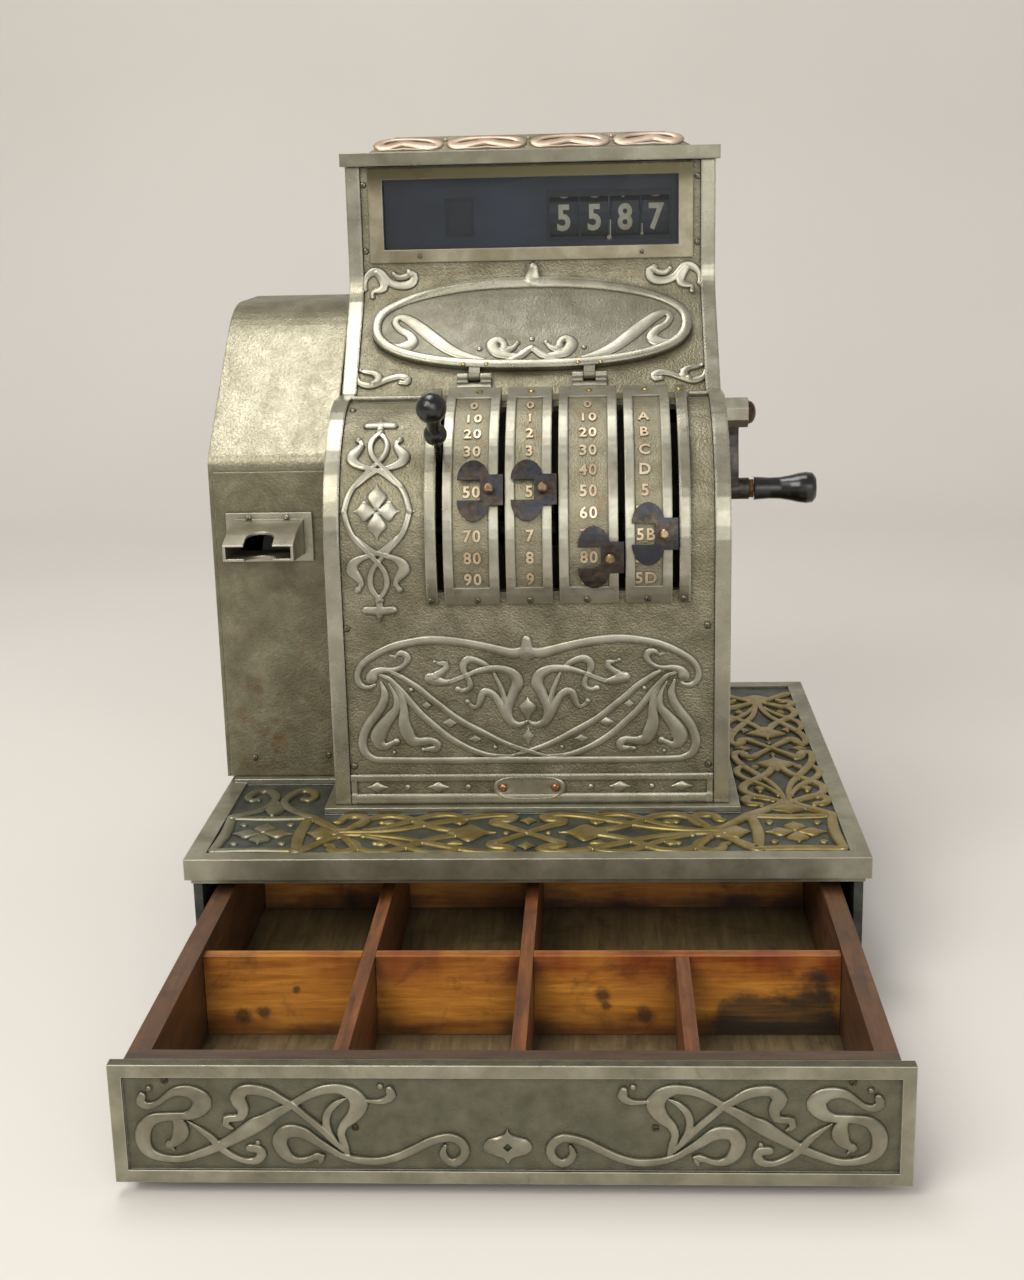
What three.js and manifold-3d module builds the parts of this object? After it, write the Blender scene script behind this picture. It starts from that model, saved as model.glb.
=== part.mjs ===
// An antique lever cash register, standing on its drawer base, with the cash drawer run out.
// Millimetres. +X is to the right, +Y to the back and +Z up. The origin is the middle of the
// face that the base stands on.

import * as THREE from 'three';
import { mergeVertices } from 'three/addons/utils/BufferGeometryUtils.js';
import Module from 'manifold-3d';

const wasm = await Module();
wasm.setup();

// Fits and cutting
const SEAT = 0.3; // gap between faces that rest on each other
const RUN = 0.5; // radial gap of a piece that turns on a shaft
const SIDE_PLAY = 0.5; // end gap of a piece that turns on a shaft
const OVER = 3; // overrun of every cutting solid
const ROUND_SIDES = 24;
const HIDDEN_SIDES = 16;
const ARC_STEPS = 14;
const SHOULDER_STEPS = 28;
const COVE_STEPS = 7;
const MERGE_SHARE = 1e-5;
const QUARTER_DEG = 90;
const HALF_DEG = 180;

// Base, which holds the drawer
const BASE_H = 110;
const RIGHT_BAND_W = 94.5; // base to the right of the cabinet
const PRINTER_OVERHANG = 3; // the printer stands out past the base's left edge
const PLATE_EDGE = 16; // height of the top plate's edge
const PLATE_T = 8; // thickness of the top plate inside its edge
const LIP_H = 4; // small step under the edge
const LIP_SET = 4;
const LIP_W = 12;
const RIM_W = 14; // smooth rim round the ornamented field
const FIELD_CUT = 2;
const PLATFORM_RISE = 3; // pad under the cabinet and the printer
const PLATFORM_EDGE = 8;
const CASE_SET = 5.5; // the case walls stand this far inside the plate
const CASE_T = 6.6;
const CASE_FLOOR_T = 8;
const RUNNER_T = 5;
const RUNNER_LAP = 10.7; // runner under the drawer's side
const GUIDE_W = 8.1;
const GUIDE_H = 30;

// Cash drawer
const DRAWER_OUT = 264; // how far it is run out
const DRAWER_SPACE = 69; // base depth that the closed drawer leaves free
const FRONT_SIDE_GAP = 1.4;
const FRONT_TOP_GAP = 4;
const FRONT_T = 8;
const FRONT_RAISE = 1; // the front passes this far above the case floor
const FRONT_RIM = 8;
const BOARD_T = 14; // wooden sides and the board behind the front
const DRAWER_BACK_T = 12;
const DRAWER_FLOOR_T = 9;
const WOOD_SET = 1.4; // wooden sides below the top of the front
const DIVIDER_T = 9;
const DIVIDER_DROP = 4; // divider tops below the side tops
const CROSS_Y = 167; // middle of the cross divider, from the front's face
const DIVIDER_SHARES = [0.2625, 0.5116, 0.7539]; // of the width between the sides

// Cabinet profile, seen from the side
const LEFT_COLUMN_W = 77.5; // cabinet to the left of the index strips
const RIGHT_COLUMN_W = 30.6;
const CAB_FRONT_SET = 108; // cabinet front behind the base's front edge
const CAB_BACK_SET = 25;
const SHAFT_RISE = 196.9; // lever shaft above the cabinet's foot
const ARC_R = 112.2; // round shoulder about the lever shaft
const LEDGE_DEG = 78; // where the round shoulder meets the ledge
const LEDGE_RUN = 19.8; // ledge behind the lever shaft
const SLOPE_DEG = 45;
const SLOPE_RUN = 78;
const COVE_R = 40;
const SIDE_T = 6;
const BAR_W = 12; // smooth bars along the front edges
const BAR_D = 8;
const PANEL_SET = 2.5; // panels lie this far behind the bars
const PANEL_T = 5;
const BACK_T = 5;
const BOSS_R = 14;
const BOSS_L = 10;
const SOCKET_DEPTH = 1.7; // shaft ends reach this far into the side

// Ribs at the foot of the lower front panel
const RIB_PROUD = 2;
const FOOT_RIB_H = 8;
const UPPER_RIB_RISE = 19;
const UPPER_RIB_H = 5;

// Index strips and the slots between them
const STRIP_T = 8;
const STRIP_LOW_DEG = -18;
const STRIP_HIGH_DEG = 83;
const STRIP_LOW_LAP = 4; // degrees of strip that lie on the panel
const STRIP_HIGH_LAP = 11;
const SEAM_DEG = 1; // seam between the front panels, below the ledge's edge
const STRIP_FIELD_CUT = 1.5;
const STRIP_SIDE_RIM = 7.2;
const STRIP_LOW_RIM_DEG = 7;
const STRIP_HIGH_RIM_DEG = 11.5;
const SLOT_W = 5.3;
const EDGE_STRIP_W = 8.4;
const STRIP_GROUP_LAP = 4; // edge strips lie this far on the panel
const STRIP_WIDTHS = [41.9, 35, 44.5, 35.2];

// Levers, one to the right of each strip, and the knob lever in the left slot
const TOP_NUMBER_DEG = 66;
const STEP_DEG = 8.2;
const LEVER_STEPS = [5, 5, 8, 7];
const KNOB_STEP = 3;
const LEVER_SHAFT_R = 8;
const SPACER_R = 11;
const HUB_R = 13;
const HUB_W = 14;
const BLADE_T = 3;
const BLADE_ROOT_W = 16;
const BLADE_TIP_W = 11;
const POINTER_LIFT = 3; // pointer above the strip
const POINTER_T = 1.5;
const LOBE_W = 24.5;
const LOBE_H = 15.7;
const LOBE_GAP = 16; // between the two lobes, where the number shows
const LOBE_FROM_SLOT = 20.9; // middle of the lobes, left of the slot
const NECK_H = 24;
const NECK_LAP = 7;
const FINGER_KNOB_R = 4;
const FINGER_KNOB_H = 8;
const FINGER_KNOB_FROM_SLOT = 9;
const FINGER_KNOB_SHARES = [[0, 0], [0.6, 0], [0.6, 0.4], [1, 0.55], [1, 0.85], [0.7, 1], [0, 1]];
const POINTER_DEG = 30; // half of the arc that the pointer is cut from
const KNOB_BLADE_W = 15;
const ROD_R = 2.6;
const ROD_SHIFT = 1.2; // the rod stands left of its blade
const BALL_OUT = 57; // middle of the ball above the strips
const BALL_R = 11.4;
const BEAD_OUT = 23;
const BEAD_R = 8.8;
const BEAD_START_DEG = 60;
const KNOB_NECK_R = 5.4;

// Upper front: oval door, its hinges, and the window
const DOOR_SIDE = 21; // cabinet to each side of the door
const DOOR_H_SHARE = 0.834; // of the length of the slope
const DOOR_DEG = 48.5;
const DOOR_T = 4.2;
const DOOR_RIM_W = 8;
const DOOR_RIM_H = 1.2;
const DOOR_LAP = 9;
const DOOR_ROUND_SHARE = 2.4; // exponent of the oval
const DOOR_TAB_W = 15;
const DOOR_TAB_H = 9;
const DOOR_TAB_TIP_SHARE = 0.4;
const HINGE_RUN = 14.8; // hinge pin up the slope from its foot
const HINGE_LIFT = 3.8; // hinge pin above the panel
const HINGE_TO_DOOR = 7.8;
const KNUCKLE_R = 3.2;
const PIN_R = 1.3;
const KNUCKLE_W = 9;
const HINGE_SPREAD = 94; // between the two hinges
const HINGE_SHIFT = 1.2;
const LEAF_T = 1.4;
const LEAF_L = 9;
const WINDOW_SIDE = 30.5; // cabinet to each side of the glass
const WINDOW_RISE = 17; // foot of the glass above the cove
const WINDOW_H = 57.2;
const WINDOW_TOP_DROP = 11; // top of the glass below the lid
const FRAME_W = 12;
const FRAME_BOTTOM_W = 10.6;
const FRAME_LIP_TOP = 9;
const COLLAR_W = 5.5;
const FRAME_D = 10;
const GLASS_T = 3;
const GLASS_LAP = 2.5;

// Display behind the window
const MASK_T = 2;
const MASK_GAP = 5;
const MASK_MARGIN = 8;
const DIGITS_SIDE = 6; // glass to the right of the digit window
const DIGITS_MARGIN = 0.3; // the digit window passes the drums by this much at each end
const DIGITS_H = 38.2;
const DIGITS_RISE = 6.2; // digit window above the foot of the glass
const FLAG_SIDE = 52.9; // glass to the left of the flag window
const FLAG_W = 20.4;
const FLAG_H = 28.4;
const FLAG_RISE = 11.4;
const DRUM_R = 43.5;
const DRUM_SIDES = 30;
const DRUM_W = 24.2;
const DRUM_GAP = 1.6;
const DRUM_DROP = 2.7; // drum axis below the middle of its window
const DRUM_RIM_T = 2.4;
const DRUM_WEB_T = 3;
const DRUM_HUB_R = 12;
const DRUM_SHAFT_R = 7;
const DRUM_SPACER_R = 10;
const DRUM_TO_MASK = 2;
const DRUM_BACK_GAP = 5.7;

// Counter behind the door
const COUNTER_DEPTH = 34; // below the slope
const COUNTER_R = 15;
const COUNTER_GROOVE_R = 11;
const COUNTER_WHEEL_W = 9.5;
const COUNTER_GROOVE_W = 2;
const COUNTER_WHEELS = 8;
const COUNTER_SHAFT_R = 5;

// Lid
const LID_T = 11;
const LID_SIDE_OVER = 3.5;
const LID_FRONT_OVER = 6;
const LID_BACK_OVER = 4;
const LID_POCKET = 6.5;
const LID_WALL = 14;
const CREST_SET = 24;
const CREST_SET_Y = 8;
const CREST_SLOPE = 21;
const CREST_H = 12;
const CREST_WALL = 3;

// Printer box on the left
const PRINTER_W = 100.2;
const PRINTER_FRONT_SET = 179; // its front behind the base's front edge
const PRINTER_BACK_SET = 30;
const SHOULDER_RISE = 263.7;
const PRINTER_SLOPE_H = 112.5; // top of the printer above its shoulder
const SHOULDER_DEG = 39.6;
const SHOULDER_R = 12;
const CROWN_R = 100;
const PRINTER_WALL = 3;
const PRINTER_LIP = 4; // upright edge of the cover below its shoulder
const PRINTER_PAD_SET = 4;
const CHUTE_SET = 47; // middle of the chute from the printer's left side
const CHUTE_W = 55;
const CHUTE_FLANGE_W = 69;
const CHUTE_FLANGE_H = 39.5;
const CHUTE_FLANGE_T = 2.5;
const CHUTE_RISE = 181.7; // foot of the flange above the printer's foot
const CHUTE_L = 52;
const CHUTE_WALL = 2.2;
const CHUTE_ROOT_LOW = 6;
const CHUTE_ROOT_H = 28;
const CHUTE_MOUTH_LOW = 11;
const CHUTE_MOUTH_H = 12.6;
const NOTCH_W = 22.5;
const NOTCH_L = 21;
const ROLL_R = 38;
const ROLL_W = 50;
const ROLL_SET = 121; // behind the printer's front
const ROLL_RISE = 150;
const SPINDLE_R = 6;
const SPINDLE_FLANGE_R = 12;
const SPINDLE_FLANGE_T = 3;

// Crank on the right
const CRANK_SET = 59.8; // behind the lever shaft
const CRANK_RISE = 281.7;
const CRANK_SHAFT_R = 7;
const CRANK_SHAFT_IN = 40; // shaft behind the side's outer face
const CRANK_BOSS_OUT = 2.2;
const CRANK_HUB_FLAT = 23.7;
const CRANK_HUB_L = 22.5;
const CRANK_NUT_R = 10;
const CRANK_NUT_H = 6.5;
const NUT_EDGE_DEG = 30;
const CRANK_HUB_SIDES = 8;
const CRANK_THROW = 64;
const ARM_T = 10;
const ARM_SET = 5; // inner face of the arm, out from the hub's inner end
const ARM_TOP_W = 17;
const ARM_MIDDLE_W = 10;
const ARM_BEND = 6;
const GRIP_BOSS_R = 9;
const GRIP_BOSS_L = 19;
const GRIP_PIN_R = 3.2;
const WASHER_R = 7.6;
const WASHER_T = 3.4;
const PIN_HEAD_R = 6;
const PIN_HEAD_T = 2;
const HANDLE_L = 52;
const HANDLE_BORE_L = 42;
const HANDLE_RS = [9.9, 9.6, 8.9, 9.2, 10.6, 12.4, 13.2, 12.6, 9.4];
const HANDLE_STATION_SHARES = [0, 0.06, 0.26, 0.42, 0.58, 0.72, 0.84, 0.94, 0.992];

// Widths worked out from the driving sizes
const STRIPS_SUM = STRIP_WIDTHS.reduce((sum, width) => sum + width, 0);
const SLOTS_SUM = (STRIP_WIDTHS.length + 1) * SLOT_W;
const STRIPS_W = 2 * EDGE_STRIP_W + STRIPS_SUM + SLOTS_SUM;
const CAB_W = LEFT_COLUMN_W + STRIPS_W + RIGHT_COLUMN_W;
const CAB_HALF = CAB_W / 2;
const SIDE_IN = CAB_HALF - SIDE_T;
const PANEL_HALF = CAB_HALF - BAR_W - SEAT;
const STRIPS_X = LEFT_COLUMN_W - CAB_HALF;
const DOOR_W = CAB_W - 2 * DOOR_SIDE;
const WINDOW_W = CAB_W - 2 * WINDOW_SIDE;
const PRINTER_RIGHT = -CAB_HALF - SEAT;
const PRINTER_LEFT = PRINTER_RIGHT - PRINTER_W;
const BASE_W = PRINTER_W - PRINTER_OVERHANG + SEAT + CAB_W + RIGHT_BAND_W;
const CAB_SHIFT = BASE_W / 2 - RIGHT_BAND_W - CAB_HALF; // cabinet's middle, on the base
const CASE_HALF = BASE_W / 2 - CASE_SET;
const CASE_IN = CASE_HALF - CASE_T;

// Depths
const DRUM_DEPTH = FRAME_D + SEAT + MASK_GAP + MASK_T + DRUM_TO_MASK + DRUM_R;
const TOP_D = DRUM_DEPTH + DRUM_R + DRUM_BACK_GAP + BACK_T;
const CAB_D = ARC_R + LEDGE_RUN + SLOPE_RUN + TOP_D;
const BASE_D = CAB_FRONT_SET + CAB_D + CAB_BACK_SET;
const BASE_FRONT = -BASE_D / 2;
const CASE_FRONT = BASE_FRONT + LIP_SET;
const CASE_BACK = -CASE_FRONT;
const FRONT_Y = BASE_FRONT + CAB_FRONT_SET;
const BACK_Y = FRONT_Y + CAB_D;
const LEVER_Y = FRONT_Y + ARC_R;
const SLOPE_Y = LEVER_Y + LEDGE_RUN;
const WINDOW_Y = SLOPE_Y + SLOPE_RUN;
const DRUM_Y = WINDOW_Y + DRUM_DEPTH;
const PRINTER_FRONT = BASE_FRONT + PRINTER_FRONT_SET;
const PRINTER_BACK = -BASE_FRONT - PRINTER_BACK_SET;
const CRANK_Y = LEVER_Y + CRANK_SET;
const DRAWER_L = BASE_D - DRAWER_SPACE;

// Heights
const PLATE_UNDER = BASE_H - PLATE_EDGE;
const LIP_LOW = PLATE_UNDER - LIP_H;
const CAB_Z = BASE_H + PLATFORM_RISE + SEAT;
const LEVER_Z = CAB_Z + SHAFT_RISE;
const LEDGE_Z = LEVER_Z + ARC_R * Math.sin(radians(LEDGE_DEG));
const SLOPE_RISE = SLOPE_RUN * Math.tan(radians(SLOPE_DEG));
const DOOR_H = DOOR_H_SHARE * SLOPE_RUN / Math.cos(radians(SLOPE_DEG));
const COVE_TANGENT = COVE_R * Math.tan(radians((QUARTER_DEG - SLOPE_DEG) / 2));
const COVE_Z = LEDGE_Z + SLOPE_RISE + COVE_TANGENT;
const GLASS_LOW = COVE_Z + WINDOW_RISE;
const GLASS_TOP = GLASS_LOW + WINDOW_H;
const LID_Z = GLASS_TOP + WINDOW_TOP_DROP;
const DRUM_Z = GLASS_LOW + DIGITS_RISE + DIGITS_H / 2 - DRUM_DROP;
const CRANK_Z = CAB_Z + CRANK_RISE;
const STRIP_IN_R = ARC_R - PANEL_SET + SEAT;
const STRIP_OUT_R = STRIP_IN_R + STRIP_T;
const BALL_REACH = STRIP_OUT_R + BALL_OUT;
const BEAD_REACH = STRIP_OUT_R + BEAD_OUT;

// Looks
const NICKEL = [0x8a8a78, 0.42, 0.75];
const BRIGHT_NICKEL = [0xa8a796, 0.3, 0.85];
const DARK_STEEL = [0x4a423b, 0.45, 0.7];
const BLACK = [0x141416, 0.18, 0];
const WOOD = [0x8a4b1e, 0.6, 0];
const DARK_WOOD = [0x4c4434, 0.75, 0];
const IRON = [0x3d3c37, 0.6, 0.6];
const GLASS = [0x222a36, 0.08, 0];
const MASK_BLUE = [0x20262e, 0.5, 0.1];
const DRUM_BLACK = [0x1d1f24, 0.5, 0];
const PAPER = [0xe8e2d0, 0.85, 0];
const BRASS = [0xa07a35, 0.4, 0.8];

function radians(angle) {
  return angle * Math.PI / HALF_DEG;
}

function degrees(angle) {
  return angle * HALF_DEG / Math.PI;
}

// Solids from three.js geometries

function trianglesOf(geometry) {
  const bare = new THREE.BufferGeometry();
  bare.setAttribute('position', geometry.getAttribute('position'));
  if (geometry.index) bare.setIndex(geometry.index);
  bare.computeBoundingSphere();
  const merged = mergeVertices(bare, MERGE_SHARE * bare.boundingSphere.radius);
  const corners = merged.index.array;
  const kept = [];
  for (let i = 0; i < corners.length; i += 3) {
    const [a, b, c] = [corners[i], corners[i + 1], corners[i + 2]];
    if (a !== b && b !== c && c !== a) kept.push(a, b, c);
  }
  return [new Float32Array(merged.getAttribute('position').array), new Uint32Array(kept)];
}

function signedVolume(places, corners) {
  const [a, b, c] = [new THREE.Vector3(), new THREE.Vector3(), new THREE.Vector3()];
  let total = 0;
  for (let i = 0; i < corners.length; i += 3) {
    a.fromArray(places, 3 * corners[i]);
    b.fromArray(places, 3 * corners[i + 1]);
    c.fromArray(places, 3 * corners[i + 2]);
    total += a.dot(b.cross(c));
  }
  return total;
}

function solid(geometry) {
  const [places, corners] = trianglesOf(geometry);
  if (signedVolume(places, corners) < 0) corners.reverse();
  const mesh = new wasm.Mesh({ numProp: 3, vertProperties: places, triVerts: corners });
  return new wasm.Manifold(mesh);
}

function block([x0, x1], [y0, y1], [z0, z1]) {
  const box = new THREE.BoxGeometry(x1 - x0, y1 - y0, z1 - z0);
  box.translate((x0 + x1) / 2, (y0 + y1) / 2, (z0 + z1) / 2);
  return solid(box);
}

function outline(points) {
  return new THREE.Shape(points.map(([a, b]) => new THREE.Vector2(a, b)));
}

const AXIS_X = new THREE.Vector3(1, 0, 0);
const AXIS_Y = new THREE.Vector3(0, 1, 0);
const AXIS_Z = new THREE.Vector3(0, 0, 1);

// An outline in (y, z), run along X
function prismX(points, [x0, x1]) {
  const prism = new THREE.ExtrudeGeometry(outline(points), { depth: x1 - x0, bevelEnabled: false });
  prism.applyMatrix4(new THREE.Matrix4().makeBasis(AXIS_Y, AXIS_Z, AXIS_X));
  prism.translate(x0, 0, 0);
  return solid(prism);
}

// An outline in (x, z), run along Y
function prismY(points, [y0, y1]) {
  const prism = new THREE.ExtrudeGeometry(outline(points), { depth: y1 - y0, bevelEnabled: false });
  prism.applyMatrix4(new THREE.Matrix4().makeBasis(AXIS_X, AXIS_Z, AXIS_Y.clone().negate()));
  prism.translate(0, y1, 0);
  return solid(prism);
}

// An outline in (x, y), run along Z
function prismZ(points, [z0, z1]) {
  const prism = new THREE.ExtrudeGeometry(outline(points), { depth: z1 - z0, bevelEnabled: false });
  prism.translate(0, 0, z0);
  return solid(prism);
}

// A profile of (radius, place along X), turned about X
function turnedX(profile, sides = ROUND_SIDES) {
  const lathe = new THREE.LatheGeometry(profile.map(([r, h]) => new THREE.Vector2(r, h)), sides);
  lathe.rotateZ(-Math.PI / 2);
  return solid(lathe);
}

function rodX(radius, [x0, x1], sides = ROUND_SIDES) {
  return turnedX([[0, x0], [radius, x0], [radius, x1], [0, x1]], sides);
}

function tubeX(radius, bore, [x0, x1], sides = ROUND_SIDES) {
  return turnedX([[bore, x0], [radius, x0], [radius, x1], [bore, x1], [bore, x0]], sides);
}

function moved(part, x, y, z) {
  return part.translate([x, y, z]);
}

function mirroredX(part) {
  return part.mirror([1, 0, 0]);
}

// Points round a centre, from one angle to another, in degrees
function arc([a, b], radius, from, to, steps = ARC_STEPS) {
  const points = [];
  for (let i = 0; i <= steps; i += 1) {
    const angle = radians(from + (to - from) * i / steps);
    points.push([a + radius * Math.cos(angle), b + radius * Math.sin(angle)]);
  }
  return points;
}

// A ring sector about the lever shaft. Angles rise from straight ahead.
function shoulderSector(inner, outer, low, high, across, centre = [LEVER_Y, LEVER_Z]) {
  const out = arc(centre, outer, HALF_DEG - low, HALF_DEG - high, SHOULDER_STEPS);
  const back = arc(centre, inner, HALF_DEG - high, HALF_DEG - low, SHOULDER_STEPS);
  return prismX([...out, ...back], across);
}

// The scene graph

const register = new THREE.Group();
const machine = new THREE.Group();
machine.position.x = CAB_SHIFT;
register.add(machine);

function node(parent, name, part, [colour, roughness, metalness]) {
  const { vertProperties, triVerts } = part.getMesh();
  const geometry = new THREE.BufferGeometry();
  geometry.setAttribute('position', new THREE.BufferAttribute(vertProperties, 3));
  geometry.setIndex(new THREE.BufferAttribute(triVerts, 1));
  geometry.computeVertexNormals();
  const look = new THREE.MeshStandardMaterial({ color: colour, roughness, metalness });
  const mesh = new THREE.Mesh(geometry, look);
  mesh.name = name;
  parent.add(mesh);
  return mesh;
}

function assembly(parent, x = 0, y = 0, z = 0) {
  const group = new THREE.Group();
  group.position.set(x, y, z);
  parent.add(group);
  return group;
}

// Base

const WOOD_HALF = CASE_IN - SEAT - GUIDE_W - SIDE_PLAY;

function centred(width) {
  return [-width / 2, width / 2];
}

function topPlate() {
  const pocket = LIP_SET + LIP_W;
  let plate = block(centred(BASE_W), centred(BASE_D), [PLATE_UNDER, BASE_H]);
  const lip = [centred(BASE_W - 2 * LIP_SET), centred(BASE_D - 2 * LIP_SET)];
  plate = plate.add(block(...lip, [LIP_LOW, PLATE_UNDER + SEAT]));
  const inside = [centred(BASE_W - 2 * pocket), centred(BASE_D - 2 * pocket)];
  plate = plate.subtract(block(...inside, [LIP_LOW - OVER, BASE_H - PLATE_T]));
  const field = [centred(BASE_W - 2 * RIM_W), centred(BASE_D - 2 * RIM_W)];
  plate = plate.subtract(block(...field, [BASE_H - FIELD_CUT, BASE_H + OVER]));
  const padBack = BACK_Y + PLATFORM_EDGE;
  const padZ = [BASE_H - PLATE_T / 2, BASE_H + PLATFORM_RISE];
  const padHalf = CAB_HALF + PLATFORM_EDGE;
  const padX = [CAB_SHIFT - padHalf, CAB_SHIFT + padHalf];
  plate = plate.add(block(padX, [FRONT_Y - PLATFORM_EDGE, padBack], padZ));
  const printerX = [PRINTER_PAD_SET - BASE_W / 2, 0];
  return plate.add(block(printerX, [PRINTER_FRONT - PLATFORM_EDGE, padBack], padZ));
}

function runner() {
  const outer = CASE_IN - SEAT;
  const guide = outer - GUIDE_W;
  const inner = WOOD_HALF - RUNNER_LAP;
  const low = CASE_FLOOR_T + SEAT;
  const section = [
    [inner, low],
    [outer, low],
    [outer, low + GUIDE_H],
    [guide, low + GUIDE_H],
    [guide, low + RUNNER_T],
    [inner, low + RUNNER_T],
  ];
  return prismY(section, [BASE_FRONT + FRONT_T + SIDE_PLAY, CASE_BACK - CASE_T - SEAT]);
}

function makeBase() {
  const base = assembly(register);
  const wall = block([CASE_IN, CASE_HALF], [CASE_FRONT, CASE_BACK], [0, LIP_LOW - SEAT]);
  const across = centred(2 * CASE_IN - 2 * SEAT);
  const backZ = [CASE_FLOOR_T + SEAT, LIP_LOW - SEAT];
  node(base, 'base_top_plate', topPlate(), NICKEL);
  node(base, 'base_side_right', wall, IRON);
  node(base, 'base_side_left', mirroredX(wall), IRON);
  node(base, 'base_back', block(across, [CASE_BACK - CASE_T, CASE_BACK], backZ), IRON);
  node(base, 'base_bottom', block(across, [CASE_FRONT, CASE_BACK], [0, CASE_FLOOR_T]), DARK_WOOD);
  node(base, 'drawer_runner_right', runner(), DARK_STEEL);
  node(base, 'drawer_runner_left', mirroredX(runner()), DARK_STEEL);
}

// Cash drawer. Its group lies at the middle of the front's face.

const WOOD_LOW = CASE_FLOOR_T + SEAT + RUNNER_T + SEAT;
const FLOOR_TOP = WOOD_LOW + DRAWER_FLOOR_T;
const FRONT_LOW = CASE_FLOOR_T + FRONT_RAISE;
const FRONT_TOP = LIP_LOW - FRONT_TOP_GAP;
const WOOD_TOP = FRONT_TOP - WOOD_SET;
const BAY_HALF = WOOD_HALF - BOARD_T - SEAT;
const DIVIDER_XS = DIVIDER_SHARES.map((share) => BAY_HALF * (2 * share - 1));
const BOARD_FRONT = FRONT_T + SEAT;
const BAY_FRONT = BOARD_FRONT + BOARD_T + SEAT;
const BAY_BACK = DRAWER_L - DRAWER_BACK_T - SEAT;
const DIVIDER_Z = [FLOOR_TOP + SEAT, WOOD_TOP - DIVIDER_DROP];

function drawerFront() {
  const width = 2 * (CASE_IN - FRONT_SIDE_GAP);
  const plate = block(centred(width), [0, FRONT_T], [FRONT_LOW, FRONT_TOP]);
  const fieldZ = [FRONT_LOW + FRONT_RIM, FRONT_TOP - FRONT_RIM];
  return plate.subtract(block(centred(width - 2 * FRONT_RIM), [-OVER, FIELD_CUT], fieldZ));
}

// A slot for the board that crosses at a divider's half lap
function lapSlot(x, y, long, z) {
  const width = DIVIDER_T + 2 * SEAT;
  const reach = DIVIDER_T + OVER;
  const spanX = long ? centred(2 * reach) : centred(width);
  const spanY = long ? centred(width) : centred(2 * reach);
  return moved(block(spanX, spanY, z), x, y, 0);
}

function longDivider(x, toCross) {
  const end = toCross ? CROSS_Y - DIVIDER_T / 2 - SEAT : BAY_BACK;
  const board = moved(block(centred(DIVIDER_T), [BAY_FRONT, end], DIVIDER_Z), x, 0, 0);
  if (toCross) return board;
  const lapMiddle = (DIVIDER_Z[0] + DIVIDER_Z[1]) / 2;
  return board.subtract(lapSlot(x, CROSS_Y, true, [DIVIDER_Z[0] - OVER, lapMiddle]));
}

function crossDivider() {
  const middle = (DIVIDER_Z[0] + DIVIDER_Z[1]) / 2;
  let board = moved(block(centred(2 * BAY_HALF), centred(DIVIDER_T), DIVIDER_Z), 0, CROSS_Y, 0);
  for (const x of DIVIDER_XS.slice(0, 2)) {
    board = board.subtract(lapSlot(x, CROSS_Y, false, [middle - SEAT, DIVIDER_Z[1] + OVER]));
  }
  return board;
}

function makeDrawer() {
  const drawer = assembly(register, 0, BASE_FRONT - DRAWER_OUT, 0);
  const wall = [FLOOR_TOP + SEAT, WOOD_TOP];
  const side = block([WOOD_HALF - BOARD_T, WOOD_HALF], [BAY_FRONT, DRAWER_L], wall);
  const wide = centred(2 * WOOD_HALF);
  const back = block(centred(2 * BAY_HALF), [DRAWER_L - DRAWER_BACK_T, DRAWER_L], DIVIDER_Z);
  node(drawer, 'drawer_front_plate', drawerFront(), NICKEL);
  const board = block(wide, [BOARD_FRONT, BOARD_FRONT + BOARD_T], wall);
  node(drawer, 'drawer_front_board', board, WOOD);
  node(drawer, 'drawer_side_right', side, WOOD);
  node(drawer, 'drawer_side_left', mirroredX(side), WOOD);
  node(drawer, 'drawer_back_board', back, WOOD);
  node(drawer, 'drawer_floor', block(wide, [BOARD_FRONT, DRAWER_L], [WOOD_LOW, FLOOR_TOP]), DARK_WOOD);
  node(drawer, 'drawer_cross_divider', crossDivider(), WOOD);
  node(drawer, 'drawer_divider_left', longDivider(DIVIDER_XS[0], false), WOOD);
  node(drawer, 'drawer_divider_middle', longDivider(DIVIDER_XS[1], false), WOOD);
  node(drawer, 'drawer_divider_right', longDivider(DIVIDER_XS[2], true), WOOD);
}

// Cabinet profile. The lines below run up the front, set back by a depth from the bars.

function lowerLine(depth, low, toDeg) {
  const round = arc([LEVER_Y, LEVER_Z], ARC_R - depth, HALF_DEG, HALF_DEG - toDeg);
  return [[FRONT_Y + depth, low], ...round];
}

function upperLine(depth, fromY, top) {
  const foot = [SLOPE_Y + depth * Math.tan(radians(SLOPE_DEG / 2)), LEDGE_Z - depth];
  const cove = arc([WINDOW_Y - COVE_R, COVE_Z], COVE_R + depth, SLOPE_DEG - QUARTER_DEG, 0, COVE_STEPS);
  return [[fromY, LEDGE_Z - depth], foot, ...cove, [WINDOW_Y + depth, top]];
}

function wholeLine(depth, low, top) {
  const seat = degrees(Math.asin((LEDGE_Z - depth - LEVER_Z) / (ARC_R - depth)));
  const lower = lowerLine(depth, low, seat);
  return [...lower, ...upperLine(depth, LEVER_Y, top)];
}

const SLOPE_MIDDLE = [SLOPE_Y + SLOPE_RUN / 2, LEDGE_Z + SLOPE_RISE / 2];
const COUNTER_Y = SLOPE_MIDDLE[0] + COUNTER_DEPTH * Math.sin(radians(SLOPE_DEG));
const COUNTER_Z = SLOPE_MIDDLE[1] - COUNTER_DEPTH * Math.cos(radians(SLOPE_DEG));

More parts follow.
